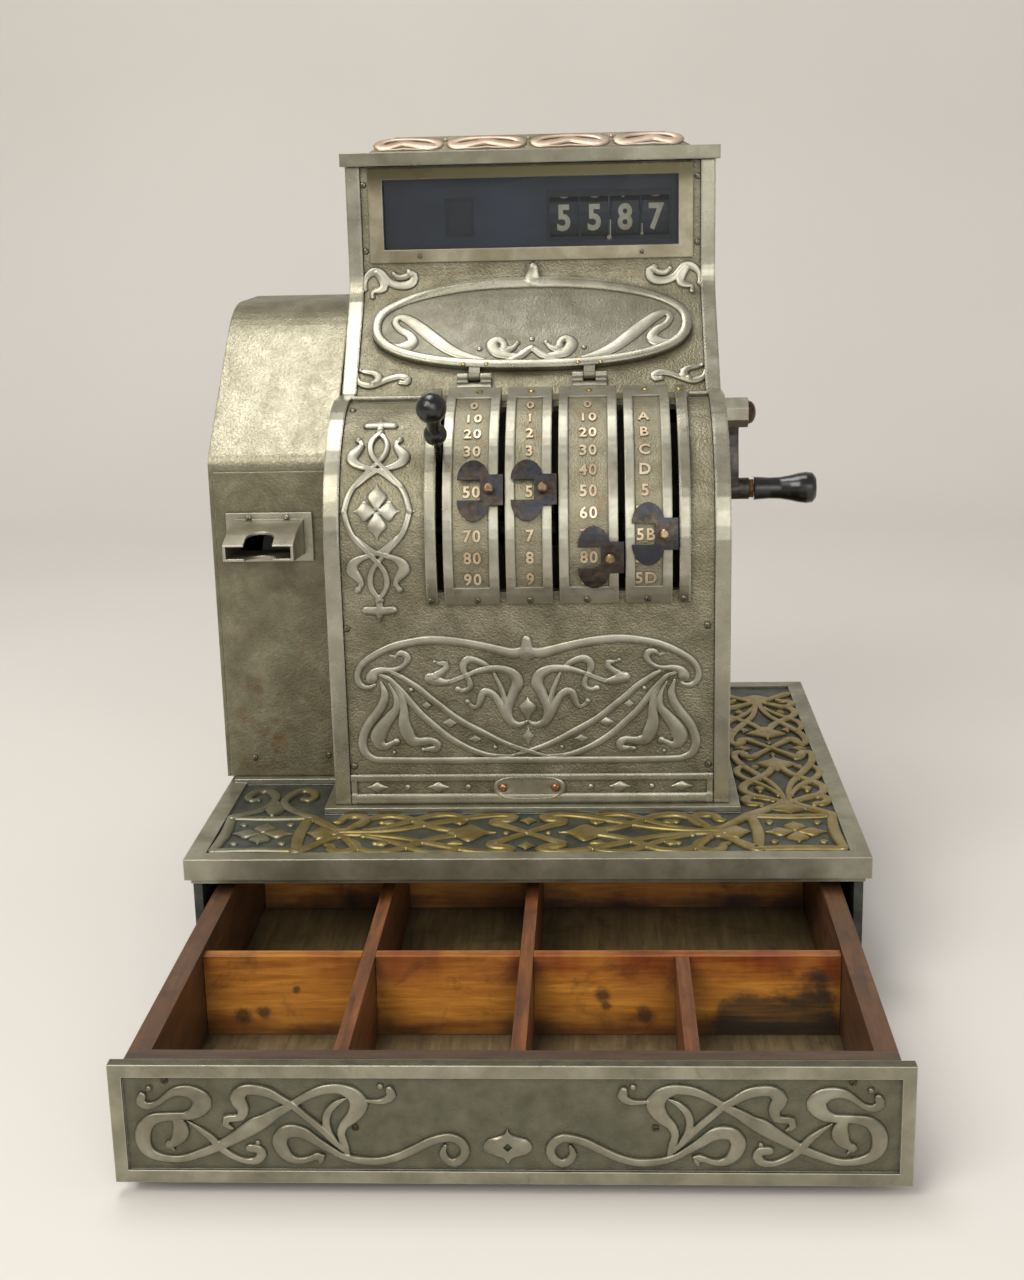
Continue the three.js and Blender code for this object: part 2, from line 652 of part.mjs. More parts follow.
// A boss on the inside of a side, with a blind socket for a shaft's end
function bossed(side, y, z, shaftR) {
  const boss = moved(rodX(BOSS_R, [SIDE_IN - BOSS_L, SIDE_IN + SIDE_T / 2]), 0, y, z);
  const socket = [SIDE_IN - BOSS_L - OVER, SIDE_IN + SOCKET_DEPTH + SEAT];
  return side.add(boss).subtract(moved(rodX(shaftR + SEAT, socket), 0, y, z));
}

function cabinetSide() {
  const edge = wholeLine(0, CAB_Z, LID_Z);
  const plate = prismX([...edge, [BACK_Y, LID_Z], [BACK_Y, CAB_Z]], [SIDE_IN, CAB_HALF]);
  const bar = [...edge, ...wholeLine(BAR_D, CAB_Z, LID_Z).reverse()];
  let side = plate.add(prismX(bar, [CAB_HALF - BAR_W, SIDE_IN + SIDE_T / 2]));
  side = bossed(side, LEVER_Y, LEVER_Z, LEVER_SHAFT_R);
  side = bossed(side, DRUM_Y, DRUM_Z, DRUM_SHAFT_R);
  return bossed(side, COUNTER_Y, COUNTER_Z, COUNTER_SHAFT_R);
}

// The right side also has the bearing of the crank's shaft
function cabinetSideRight() {
  const bearing = [SIDE_IN - BOSS_L, CAB_HALF + CRANK_BOSS_OUT];
  const bore = [SIDE_IN - BOSS_L - OVER, CAB_HALF + CRANK_BOSS_OUT + OVER];
  return cabinetSide()
    .add(moved(rodX(BOSS_R, bearing), 0, CRANK_Y, CRANK_Z))
    .subtract(moved(rodX(CRANK_SHAFT_R + RUN, bore), 0, CRANK_Y, CRANK_Z));
}

function lowerFrontPanel() {
  const outer = lowerLine(PANEL_SET, CAB_Z, LEDGE_DEG - SEAM_DEG);
  const inner = lowerLine(PANEL_SET + PANEL_T, CAB_Z, LEDGE_DEG - SEAM_DEG);
  let panel = prismX([...outer, ...inner.reverse()], [-PANEL_HALF, PANEL_HALF]);
  const ribY = [FRONT_Y + PANEL_SET - RIB_PROUD, FRONT_Y + PANEL_SET + PANEL_T / 2];
  const width = [-PANEL_HALF, PANEL_HALF];
  panel = panel.add(block(width, ribY, [CAB_Z, CAB_Z + FOOT_RIB_H]));
  const upperRib = CAB_Z + UPPER_RIB_RISE;
  panel = panel.add(block(width, ribY, [upperRib, upperRib + UPPER_RIB_H]));
  const left = STRIPS_X + STRIP_GROUP_LAP;
  const right = STRIPS_X + STRIPS_W - STRIP_GROUP_LAP;
  const low = STRIP_LOW_DEG + STRIP_LOW_LAP;
  const high = STRIP_HIGH_DEG - STRIP_HIGH_LAP;
  const cutter = shoulderSector(ARC_R / 2, ARC_R * 2, low, high, [left, right]);
  return panel.subtract(cutter);
}

// Index strips

function stripBand(x0, x1) {
  const band = shoulderSector(STRIP_IN_R, STRIP_OUT_R, STRIP_LOW_DEG, STRIP_HIGH_DEG, [x0, x1]);
  const panelFace = FRONT_Y + PANEL_SET - SEAT;
  const below = block([x0 - OVER, x1 + OVER], [panelFace, LEVER_Y], [CAB_Z, LEVER_Z]);
  return band.subtract(below);
}

function indexStrip(x0, x1) {
  const across = [x0 + STRIP_SIDE_RIM, x1 - STRIP_SIDE_RIM];
  const low = STRIP_LOW_DEG + STRIP_LOW_RIM_DEG;
  const high = STRIP_HIGH_DEG - STRIP_HIGH_RIM_DEG;
  const field = shoulderSector(STRIP_OUT_R - STRIP_FIELD_CUT, STRIP_OUT_R + OVER, low, high, across);
  return stripBand(x0, x1).subtract(field);
}

const LEVER_XS = [];
const KNOB_X = STRIPS_X + EDGE_STRIP_W + SLOT_W / 2;

function makeIndex(cabinet) {
  node(cabinet, 'edge_strip_left', stripBand(STRIPS_X, STRIPS_X + EDGE_STRIP_W), BRIGHT_NICKEL);
  let x = STRIPS_X + EDGE_STRIP_W + SLOT_W;
  STRIP_WIDTHS.forEach((width, i) => {
    node(cabinet, `index_strip_${i + 1}`, indexStrip(x, x + width), BRIGHT_NICKEL);
    LEVER_XS.push(x + width + SLOT_W / 2);
    x += width + SLOT_W;
  });
  node(cabinet, 'edge_strip_right', stripBand(x, x + EDGE_STRIP_W), BRIGHT_NICKEL);
}

// Upper front panel, with its window and the way in behind the oval door

const SLOPE = radians(SLOPE_DEG);
const HINGE_Y = SLOPE_Y + HINGE_RUN * Math.cos(SLOPE) + (PANEL_SET - HINGE_LIFT) * Math.sin(SLOPE);
const HINGE_Z = LEDGE_Z + HINGE_RUN * Math.sin(SLOPE) - (PANEL_SET - HINGE_LIFT) * Math.cos(SLOPE);

function oval(inset) {
  const halfW = DOOR_W / 2 - inset;
  const halfH = DOOR_H / 2 - inset;
  const power = 2 / DOOR_ROUND_SHARE;
  return arc([0, 0], 1, 0, 2 * HALF_DEG, 4 * ARC_STEPS).slice(1).map(([a, b]) => [
    halfW * Math.sign(a) * Math.abs(a) ** power,
    HINGE_TO_DOOR + DOOR_H / 2 + halfH * Math.sign(b) * Math.abs(b) ** power,
  ]);
}

function upperFrontPanel() {
  const start = LEVER_Y - (ARC_R - PANEL_SET - PANEL_T) * Math.cos(radians(LEDGE_DEG - SEAM_DEG)) + SEAT;
  const top = LID_Z - SEAT;
  const outer = upperLine(PANEL_SET, start, top);
  const inner = upperLine(PANEL_SET + PANEL_T, start, top);
  const panel = prismX([...outer, ...inner.reverse()], [-PANEL_HALF, PANEL_HALF]);
  const half = WINDOW_W / 2 + COLLAR_W + SEAT;
  const window = block(
    [-half, half],
    [WINDOW_Y - OVER, WINDOW_Y + PANEL_SET + PANEL_T + OVER],
    [GLASS_LOW - COLLAR_W - SEAT, GLASS_TOP + COLLAR_W + SEAT],
  );
  const way = leaned(prismY(oval(DOOR_LAP), centred(DOOR_H)));
  return panel.subtract(window).subtract(moved(way, 0, HINGE_Y, HINGE_Z));
}

function windowFrame() {
  const flange = WINDOW_W / 2 + FRAME_W;
  const flangeZ = [GLASS_LOW - FRAME_BOTTOM_W, GLASS_TOP + FRAME_LIP_TOP];
  const collarHalf = WINDOW_W / 2 + COLLAR_W;
  const collarZ = [GLASS_LOW - COLLAR_W, GLASS_TOP + COLLAR_W];
  const front = block([-flange, flange], [WINDOW_Y, WINDOW_Y + PANEL_SET - SEAT], flangeZ);
  const collar = block([-collarHalf, collarHalf], [WINDOW_Y, WINDOW_Y + FRAME_D], collarZ);
  const sight = block(centred(WINDOW_W), [WINDOW_Y - OVER, WINDOW_Y + FRAME_D + OVER], [GLASS_LOW, GLASS_TOP]);
  const rebate = block(
    centred(WINDOW_W + 2 * GLASS_LAP),
    [WINDOW_Y + FRAME_D - GLASS_T, WINDOW_Y + FRAME_D + OVER],
    [GLASS_LOW - GLASS_LAP, GLASS_TOP + GLASS_LAP],
  );
  return front.add(collar).subtract(sight).subtract(rebate);
}

// A pane that lies in a rebate, clear of it all round
function pane(y0, y1) {
  const wide = centred(WINDOW_W + 2 * GLASS_LAP - 2 * SEAT);
  return block(wide, [y0, y1], [GLASS_LOW - GLASS_LAP + SEAT, GLASS_TOP + GLASS_LAP - SEAT]);
}

function cabinetBack() {
  const across = centred(2 * SIDE_IN - 2 * SEAT);
  const plate = block(across, [BACK_Y - BACK_T, BACK_Y], [CAB_Z, LID_Z - SEAT]);
  const sight = block(centred(WINDOW_W), [BACK_Y - BACK_T - OVER, BACK_Y + OVER], [GLASS_LOW, GLASS_TOP]);
  const rebate = block(
    centred(WINDOW_W + 2 * GLASS_LAP),
    [BACK_Y - BACK_T - OVER, BACK_Y - BACK_T + GLASS_T],
    [GLASS_LOW - GLASS_LAP, GLASS_TOP + GLASS_LAP],
  );
  return plate.subtract(sight).subtract(rebate);
}

// Lid with its raised crest

// A block whose four sides lean in
function frustum([x0, x1], [y0, y1], [z0, z1], inset) {
  const across = prismY([[x0, z0], [x1, z0], [x1 - inset, z1], [x0 + inset, z1]], [y0, y1]);
  return across.intersect(prismX([[y0, z0], [y1, z0], [y1 - inset, z1], [y0 + inset, z1]], [x0, x1]));
}

const LID_LOW = LID_Z + SEAT;
const LID_TOP = LID_LOW + LID_T;
const LID_Y = [WINDOW_Y - LID_FRONT_OVER, BACK_Y + LID_BACK_OVER];

function lid() {
  const slab = block(centred(CAB_W + 2 * LID_SIDE_OVER), LID_Y, [LID_LOW, LID_TOP]);
  const pocketY = [WINDOW_Y + LID_WALL, BACK_Y - LID_WALL];
  return slab.subtract(block(centred(CAB_W - 2 * LID_WALL), pocketY, [LID_LOW - OVER, LID_LOW + LID_POCKET]));
}

function crest() {
  const x = centred(CAB_W + 2 * LID_SIDE_OVER - 2 * CREST_SET);
  const y = [LID_Y[0] + CREST_SET_Y, LID_Y[1] - CREST_SET_Y];
  const low = LID_TOP + SEAT;
  const shell = (grow, drop) => frustum([x[0] + grow, x[1] - grow], [y[0] + grow, y[1] - grow],
    [low - drop, low + CREST_H - drop], CREST_SLOPE);
  return shell(0, 0).subtract(shell(CREST_WALL, CREST_WALL));
}

function makeCabinet() {
  const cabinet = assembly(machine);
  node(cabinet, 'cabinet_side_right', cabinetSideRight(), NICKEL);
  node(cabinet, 'cabinet_side_left', mirroredX(cabinetSide()), NICKEL);
  node(cabinet, 'cabinet_back', cabinetBack(), NICKEL);
  node(cabinet, 'lower_front_panel', lowerFrontPanel(), NICKEL);
  node(cabinet, 'upper_front_panel', upperFrontPanel(), NICKEL);
  makeIndex(cabinet);
  node(cabinet, 'window_frame', windowFrame(), BRIGHT_NICKEL);
  const front = WINDOW_Y + FRAME_D;
  node(cabinet, 'front_glass', pane(front - GLASS_T + SEAT, front), GLASS);
  const back = BACK_Y - BACK_T;
  node(cabinet, 'rear_glass', pane(back, back + GLASS_T - SEAT), GLASS);
  node(cabinet, 'lid', lid(), NICKEL);
  node(cabinet, 'lid_crest', crest(), BRIGHT_NICKEL);
}

// A shaft between the two sides, thicker wherever no hub turns on it
function spacedShaft(radius, spacerR, hubs, hubWidth) {
  const end = SIDE_IN + SOCKET_DEPTH;
  const shoulder = SIDE_IN - BOSS_L - SIDE_PLAY;
  const profile = [[0, -end], [radius, -end], [radius, -shoulder], [spacerR, -shoulder]];
  for (const x of [...hubs].sort((a, b) => a - b)) {
    const reach = hubWidth / 2 + SIDE_PLAY;
    profile.push([spacerR, x - reach], [radius, x - reach], [radius, x + reach], [spacerR, x + reach]);
  }
  profile.push([spacerR, shoulder], [radius, shoulder], [radius, end], [0, end]);
  return turnedX(profile, HIDDEN_SIDES);
}

// Levers. Each lever's group lies on the shaft, and its pointer stands straight ahead at no turn.

const POINTER_R = STRIP_OUT_R + POINTER_LIFT;

function leverBlade(rootWidth, tipWidth, reach) {
  const blade = [[0, -rootWidth / 2], [-reach, -tipWidth / 2], [-reach, tipWidth / 2], [0, rootWidth / 2]];
  return prismX(blade, centred(BLADE_T));
}

function leverHub(body) {
  return body.add(rodX(HUB_R, centred(HUB_W)))
    .subtract(rodX(LEVER_SHAFT_R + RUN, centred(HUB_W + 2 * OVER)));
}

// Two lobes above and below the number, and the neck that carries them from the slot
function pointerPlate() {
  const lobe = (up) => arc([0, 0], 1, 0, HALF_DEG).map(([a, b]) => [
    a * LOBE_W / 2 - LOBE_FROM_SLOT,
    up * (b * LOBE_H + LOBE_GAP / 2),
  ]);
  const reach = [-POINTER_R - POINTER_T - OVER, OVER - POINTER_R];
  const neckX = [LOBE_W / 2 - LOBE_FROM_SLOT - NECK_LAP, BLADE_T / 2];
  let plate = block(neckX, reach, centred(NECK_H));
  plate = plate.add(prismY(lobe(1), reach)).add(prismY(lobe(-1), reach));
  const across = [-LOBE_FROM_SLOT - LOBE_W, BLADE_T];
  return plate.intersect(shoulderSector(POINTER_R, POINTER_R + POINTER_T, -POINTER_DEG, POINTER_DEG, across, [0, 0]));
}

function fingerKnob() {
  const profile = FINGER_KNOB_SHARES.map(([r, h]) => [r * FINGER_KNOB_R, h * FINGER_KNOB_H]);
  const knob = turnedX(profile, ROUND_SIDES / 2);
  return moved(knob.rotate([0, 0, -QUARTER_DEG]), -FINGER_KNOB_FROM_SLOT, -POINTER_R - POINTER_T / 2, 0);
}

function numberLever() {
  const body = leverBlade(BLADE_ROOT_W, BLADE_TIP_W, POINTER_R + POINTER_T / 2);
  return leverHub(body.add(pointerPlate())).add(fingerKnob());
}

function knobLever() {
  const rodStart = STRIP_OUT_R + POINTER_LIFT / 2;
  const blade = leverBlade(BLADE_ROOT_W, KNOB_BLADE_W, rodStart + 2 * ROD_R);
  const rod = rodX(ROD_R, [rodStart, BALL_REACH]).rotate([0, 0, -QUARTER_DEG]);
  return leverHub(blade).add(moved(rod, -ROD_SHIFT, 0, 0));
}

// A turned knob on the rod: bead, neck and ball
function leverKnob() {
  const profile = [];
  const bore = ROD_R + SEAT;
  const beadAt = BEAD_REACH;
  const neckDeg = degrees(Math.acos(KNOB_NECK_R / BEAD_R));
  const ballDeg = degrees(Math.acos(KNOB_NECK_R / BALL_R));
  const low = beadAt - BEAD_R * Math.sin(radians(BEAD_START_DEG));
  profile.push([bore, low]);
  profile.push(...arc([0, beadAt], BEAD_R, -BEAD_START_DEG, neckDeg, COVE_STEPS));
  profile.push(...arc([0, BALL_REACH], BALL_R, -ballDeg, QUARTER_DEG));
  profile.push([0, BALL_REACH + SEAT], [bore, BALL_REACH + SEAT], [bore, low]);
  return turnedX(profile).rotate([0, 0, -QUARTER_DEG]);
}

function makeLevers() {
  const levers = assembly(machine, 0, LEVER_Y, LEVER_Z);
  const hubs = [KNOB_X, ...LEVER_XS];
  node(levers, 'lever_shaft', spacedShaft(LEVER_SHAFT_R, SPACER_R, hubs, HUB_W), DARK_STEEL);
  LEVER_XS.forEach((x, i) => {
    const at = assembly(levers, x, 0, 0);
    at.rotation.x = radians(STEP_DEG * LEVER_STEPS[i] - TOP_NUMBER_DEG);
    node(at, `lever_${i + 1}`, numberLever(), DARK_STEEL);
  });
  const at = assembly(levers, KNOB_X, 0, 0);
  at.rotation.x = radians(STEP_DEG * KNOB_STEP - TOP_NUMBER_DEG);
  node(at, 'knob_lever', knobLever(), DARK_STEEL);
  node(at, 'lever_knob', moved(leverKnob(), -ROD_SHIFT, 0, 0), BLACK);
}

// Display: a mask with two windows, and one digit drum for each lever on one shaft

const DRUM_PITCH = DRUM_W + DRUM_GAP;
const DIGITS_W = LEVER_STEPS.length * DRUM_PITCH + 2 * DIGITS_MARGIN - DRUM_GAP;

function mask() {
  const y0 = WINDOW_Y + FRAME_D + MASK_GAP;
  const y = [y0, y0 + MASK_T];
  const cut = [y[0] - OVER, y[1] + OVER];
  const low = GLASS_LOW - MASK_MARGIN;
  const sheet = block(centred(2 * SIDE_IN - 2 * SEAT), y, [low, GLASS_TOP + MASK_MARGIN]);
  const digits = GLASS_LOW + DIGITS_RISE;
  const right = WINDOW_W / 2 - DIGITS_SIDE;
  const left = right - DIGITS_W;
  const flag = GLASS_LOW + FLAG_RISE;
  const flagX = FLAG_SIDE - WINDOW_W / 2;
  return sheet
    .subtract(block([left, right], cut, [digits, digits + DIGITS_H]))
    .subtract(block([flagX, flagX + FLAG_W], cut, [flag, flag + FLAG_H]));
}

function digitDrum() {
  const [rim, web, half] = [DRUM_R - DRUM_RIM_T, DRUM_WEB_T / 2, DRUM_W / 2];
  const bore = DRUM_SHAFT_R + RUN;
  const side = (s) => [[DRUM_HUB_R, s * half], [DRUM_HUB_R, s * web], [rim, s * web], [rim, s * half],
    [DRUM_R, s * half]];
  return turnedX([[bore, -half], ...side(-1), ...side(1).reverse(), [bore, half], [bore, -half]], DRUM_SIDES);
}

function makeDisplay() {
  const display = assembly(machine);
  node(display, 'indicator_mask', mask(), MASK_BLUE);
  const drums = assembly(display, 0, DRUM_Y, DRUM_Z);
  const first = WINDOW_W / 2 - DIGITS_SIDE - DIGITS_W + DIGITS_MARGIN + DRUM_W / 2;
  const places = LEVER_STEPS.map((_, i) => first + i * DRUM_PITCH);
  node(drums, 'drum_shaft', spacedShaft(DRUM_SHAFT_R, DRUM_SPACER_R, places, DRUM_W), DARK_STEEL);
  places.forEach((x, i) => {
    node(drums, `digit_drum_${i + 1}`, digitDrum(), DRUM_BLACK).position.x = x;
  });
}

// Counter wheels on their shaft, behind the oval door

function counter() {
  const end = SIDE_IN + SOCKET_DEPTH;
  const pitch = COUNTER_WHEEL_W + COUNTER_GROOVE_W;
  const start = -COUNTER_WHEELS * pitch / 2;
  const profile = [[0, -end], [COUNTER_SHAFT_R, -end], [COUNTER_SHAFT_R, start]];
  for (let i = 0; i < COUNTER_WHEELS; i += 1) {
    const x = start + i * pitch;
    profile.push([COUNTER_R, x], [COUNTER_R, x + COUNTER_WHEEL_W]);
    profile.push([COUNTER_GROOVE_R, x + COUNTER_WHEEL_W], [COUNTER_GROOVE_R, x + pitch]);
  }
  profile.push([COUNTER_SHAFT_R, -start], [COUNTER_SHAFT_R, end], [0, end]);
  return turnedX(profile, HIDDEN_SIDES);
}

function makeCounter() {
  node(assembly(machine, 0, COUNTER_Y, COUNTER_Z), 'counter_wheels', counter(), BRASS);
}

// Oval door. Its group lies on the hinge pins.

function hingeXs() {
  return [HINGE_SHIFT - HINGE_SPREAD / 2, HINGE_SHIFT + HINGE_SPREAD / 2];
}

// A layer that follows the slope and the cove, seen from the hinge pins
function doorLayer(front, back) {
  const line = (depth) => upperLine(depth, LEVER_Y, GLASS_LOW);
  const layer = prismX([...line(front), ...line(back).reverse()], centred(DOOR_W + OVER));
  return moved(layer, 0, -HINGE_Y, -HINGE_Z);
}

function leaned(part) {
  return part.rotate([DOOR_DEG - QUARTER_DEG, 0, 0]);
}

function ovalDoor() {
  const back = PANEL_SET - SEAT;
  const face = back - DOOR_T;
  const through = centred(DOOR_H);
  const tabZ = [HINGE_TO_DOOR + DOOR_H - DOOR_RIM_W, HINGE_TO_DOOR + DOOR_H + DOOR_TAB_H];
  const [root, tip] = [DOOR_TAB_W / 2, DOOR_TAB_W * DOOR_TAB_TIP_SHARE / 2];
  const tab = [[-root, tabZ[0]], [root, tabZ[0]], [tip, tabZ[1]], [-tip, tabZ[1]]];
  const whole = leaned(prismY(oval(0), through).add(prismY(tab, through)));
  const ring = leaned(prismY(oval(0), through).subtract(prismY(oval(DOOR_RIM_W), centred(2 * DOOR_H))));
  let door = doorLayer(face, back).intersect(whole);
  door = door.add(doorLayer(face - DOOR_RIM_H, back - DOOR_T / 2).intersect(ring));
  for (const x of hingeXs()) {
    const leaf = block(centred(KNUCKLE_W), centred(2 * LEAF_T), [0, HINGE_TO_DOOR + DOOR_RIM_W]);
    const ear = rodX(KNUCKLE_R, centred(KNUCKLE_W)).add(leaf.rotate([SLOPE_DEG - QUARTER_DEG, 0, 0]));
    const bore = rodX(PIN_R + RUN, centred(KNUCKLE_W + 2 * OVER));
    door = door.add(moved(ear, x, 0, 0)).subtract(moved(bore, x, 0, 0));
  }
  return door;
}

// The fixed half of a hinge: two ears, the pin through them and the leaf screwed to the panel
function doorHinge() {
  const inner = KNUCKLE_W / 2 + SIDE_PLAY;
  const outer = inner + KNUCKLE_W;
  const ear = rodX(KNUCKLE_R, [inner, outer]);
  const foot = HINGE_LIFT - SEAT;
  const leaf = block([-outer, outer], [foot - LEAF_T, foot], [-LEAF_L, -KNUCKLE_R - RUN]);
  const web = block([inner, outer], [0, foot], [-KNUCKLE_R - RUN - LEAF_T, 0]);
  return ear.add(mirroredX(ear)).add(rodX(PIN_R, [-outer, outer])).add(leaf).add(web).add(mirroredX(web));
}

function makeDoor() {
  const door = assembly(machine, 0, HINGE_Y, HINGE_Z);
  node(door, 'oval_door', ovalDoor(), NICKEL);
  const fixed = assembly(machine, 0, HINGE_Y, HINGE_Z);
  fixed.rotation.x = radians(SLOPE_DEG - QUARTER_DEG);
  hingeXs().forEach((x, i) => {
    node(fixed, `door_hinge_${i ? 'right' : 'left'}`, doorHinge(), BRIGHT_NICKEL).position.x = x;
  });
}

// Printer box

// Where the bend of the printer's shoulder starts
const SHOULDER_FOOT =
  CAB_Z + SHOULDER_RISE - SHOULDER_R * Math.tan((Math.PI / 2 - radians(SHOULDER_DEG)) / 2);
const FRONT_PLATE_TOP = SHOULDER_FOOT - PRINTER_LIP - SEAT;

function printerLine(depth, low) {
  const shoulder = CAB_Z + SHOULDER_RISE;
  const top = shoulder + PRINTER_SLOPE_H;
  const slope = radians(SHOULDER_DEG);
  const lean = QUARTER_DEG + SHOULDER_DEG;
  const crownY = PRINTER_FRONT + (top - shoulder) / Math.tan(slope) + CROWN_R * Math.tan(slope / 2);
  const back = PRINTER_BACK - depth;
  return [
    [PRINTER_FRONT + depth, low],
    ...arc([PRINTER_FRONT + SHOULDER_R, SHOULDER_FOOT], SHOULDER_R - depth, HALF_DEG, lean, COVE_STEPS),
    ...arc([crownY, top - CROWN_R], CROWN_R - depth, lean, QUARTER_DEG, COVE_STEPS),
    [back, top - depth],
    [back, low],
  ];
}

const CHUTE_X = PRINTER_LEFT + CHUTE_SET;
const CHUTE_Z = CAB_Z + CHUTE_RISE;
const CHUTE_Y = PRINTER_FRONT - SEAT;

// The hood's outline in (y, z), its walls set in by a depth
function hood(depth, from, to) {
  const steps = ARC_STEPS / 2;
  const upper = [];
  for (let i = 0; i <= steps; i += 1) {
    const share = i / steps;
    const drop = CHUTE_ROOT_LOW + CHUTE_ROOT_H - CHUTE_MOUTH_LOW - CHUTE_MOUTH_H;
    const z = CHUTE_Z + CHUTE_ROOT_LOW + CHUTE_ROOT_H - drop * share ** 2 - depth;
    upper.push([from + (to - from) * share, z]);
  }
  const low = [[to, CHUTE_Z + CHUTE_MOUTH_LOW + depth], [from, CHUTE_Z + CHUTE_ROOT_LOW + depth]];
  return [...upper, ...low];
}

function chute() {
  const root = CHUTE_Y - CHUTE_FLANGE_T;
  const mouth = root - CHUTE_L;
  const flangeZ = [CHUTE_Z, CHUTE_Z + CHUTE_FLANGE_H];
  const flange = moved(block(centred(CHUTE_FLANGE_W), [root, CHUTE_Y], flangeZ), CHUTE_X, 0, 0);
  const half = CHUTE_W / 2;
  const body = prismX(hood(0, root + CHUTE_FLANGE_T / 2, mouth), [CHUTE_X - half, CHUTE_X + half]);
  const bore = prismX(hood(CHUTE_WALL, CHUTE_Y + OVER, mouth - OVER),
    [CHUTE_X - half + CHUTE_WALL, CHUTE_X + half - CHUTE_WALL]);
  const round = arc([CHUTE_X, mouth + NOTCH_L - NOTCH_W / 2], NOTCH_W / 2, 0, HALF_DEG);
  const notch = [[CHUTE_X + NOTCH_W / 2, mouth - OVER], ...round, [CHUTE_X - NOTCH_W / 2, mouth - OVER]];
  return flange.add(body).subtract(bore).subtract(prismZ(notch, flangeZ));
}

function printerCover() {
  const shell = prismX(printerLine(0, CAB_Z), [PRINTER_LEFT, PRINTER_RIGHT]);
  const inside = [PRINTER_LEFT + PRINTER_WALL, PRINTER_RIGHT + OVER];
  const room = prismX(printerLine(PRINTER_WALL, CAB_Z - OVER), inside);
  const wallY = [PRINTER_FRONT - OVER, PRINTER_FRONT + PRINTER_WALL + OVER];
  return shell.subtract(room).subtract(block(inside, wallY, [CAB_Z - OVER, FRONT_PLATE_TOP + SEAT]));
}

// The plate that closes the cover's front below its shoulder, with a slot behind the chute
function printerFrontPlate() {
  const across = [PRINTER_LEFT + PRINTER_WALL + SEAT, PRINTER_RIGHT];
  const wallY = [PRINTER_FRONT, PRINTER_FRONT + PRINTER_WALL];
  const plate = block(across, wallY, [CAB_Z, FRONT_PLATE_TOP]);
  const root = CHUTE_Z + CHUTE_ROOT_LOW;
  const slotZ = [root + CHUTE_WALL, root + CHUTE_ROOT_H - CHUTE_WALL];
  const slotY = [PRINTER_FRONT - OVER, PRINTER_FRONT + PRINTER_WALL + OVER];
  const slot = moved(block(centred(CHUTE_W - 2 * CHUTE_WALL), slotY, slotZ), CHUTE_X, 0, 0);
  return plate.subtract(slot);
}

function makePrinter() {
  const printer = assembly(machine);
  node(printer, 'printer_cover', printerCover(), BRIGHT_NICKEL);
  node(printer, 'printer_front_plate', printerFrontPlate(), BRIGHT_NICKEL);
  node(printer, 'receipt_chute', chute(), BRIGHT_NICKEL);
  const roll = assembly(printer, 0, PRINTER_FRONT + ROLL_SET, CAB_Z + ROLL_RISE);
  const ends = [CHUTE_X - ROLL_W / 2, CHUTE_X + ROLL_W / 2];
  const root = -CAB_HALF - SEAT;
  const tip = ends[0] - SPINDLE_FLANGE_T;
  const spindle = [[0, tip], [SPINDLE_R, tip], [SPINDLE_R, root - SPINDLE_FLANGE_T],
    [SPINDLE_FLANGE_R, root - SPINDLE_FLANGE_T], [SPINDLE_FLANGE_R, root], [0, root]];
  node(roll, 'paper_spindle', turnedX(spindle), DARK_STEEL);
  node(roll, 'paper_roll', tubeX(ROLL_R, SPINDLE_R + RUN, ends), PAPER);
}

// Crank. Its group lies on the shaft, with X as the place along the shaft.

const HUB_START = CAB_HALF + CRANK_BOSS_OUT + SIDE_PLAY;
const HUB_END = HUB_START + CRANK_HUB_L;
const ARM_IN = HUB_START + ARM_SET;
const GRIP_END = ARM_IN + GRIP_BOSS_L;

// The arm's edge, from the hub to the lower boss, with a slight double bend
function armOutline() {
  const steps = ARC_STEPS / 2;
  const edge = (sign) => {
    const points = [];
    for (let i = 0; i <= steps; i += 1) {
      const share = i / steps;
      const swing = ARM_BEND * Math.sin(2 * Math.PI * share) / 2;
      const waist = ARM_MIDDLE_W + (ARM_TOP_W - ARM_MIDDLE_W) * (2 * share - 1) ** 2;
      points.push([swing + sign * waist / 2, -CRANK_THROW * share]);
    }
    return points;
  };
  return [...edge(1), ...edge(-1).reverse()];
}

function crankArm() {
  const corner = CRANK_HUB_FLAT / 2 / Math.cos(Math.PI / CRANK_HUB_SIDES);
  const turn = HALF_DEG / CRANK_HUB_SIDES;
  const hub = rodX(corner, [HUB_START, HUB_END], CRANK_HUB_SIDES).rotate([turn, 0, 0]);
  const arm = prismX(armOutline(), [ARM_IN, ARM_IN + ARM_T]);
  const boss = moved(rodX(GRIP_BOSS_R, [ARM_IN, GRIP_END]), 0, 0, -CRANK_THROW);
  const bore = rodX(CRANK_SHAFT_R + SEAT, [HUB_START - OVER, HUB_END + OVER]);
  const pinBore = moved(rodX(GRIP_PIN_R + SEAT, [ARM_IN - OVER, GRIP_END + OVER]), 0, 0, -CRANK_THROW);
  return hub.add(arm).add(boss).subtract(bore).subtract(pinBore);
}

// A rivet with its head behind the arm and its washer under the handle
function gripPin() {
  const head = ARM_IN - SEAT;
  const washer = GRIP_END + SEAT;
  const tip = washer + WASHER_T + HANDLE_BORE_L - SIDE_PLAY;
  return turnedX([[0, head - PIN_HEAD_T], [PIN_HEAD_R, head - PIN_HEAD_T], [PIN_HEAD_R, head],
    [GRIP_PIN_R, head], [GRIP_PIN_R, washer], [WASHER_R, washer], [WASHER_R, washer + WASHER_T],
    [GRIP_PIN_R, washer + WASHER_T], [GRIP_PIN_R, tip], [0, tip]]);
}

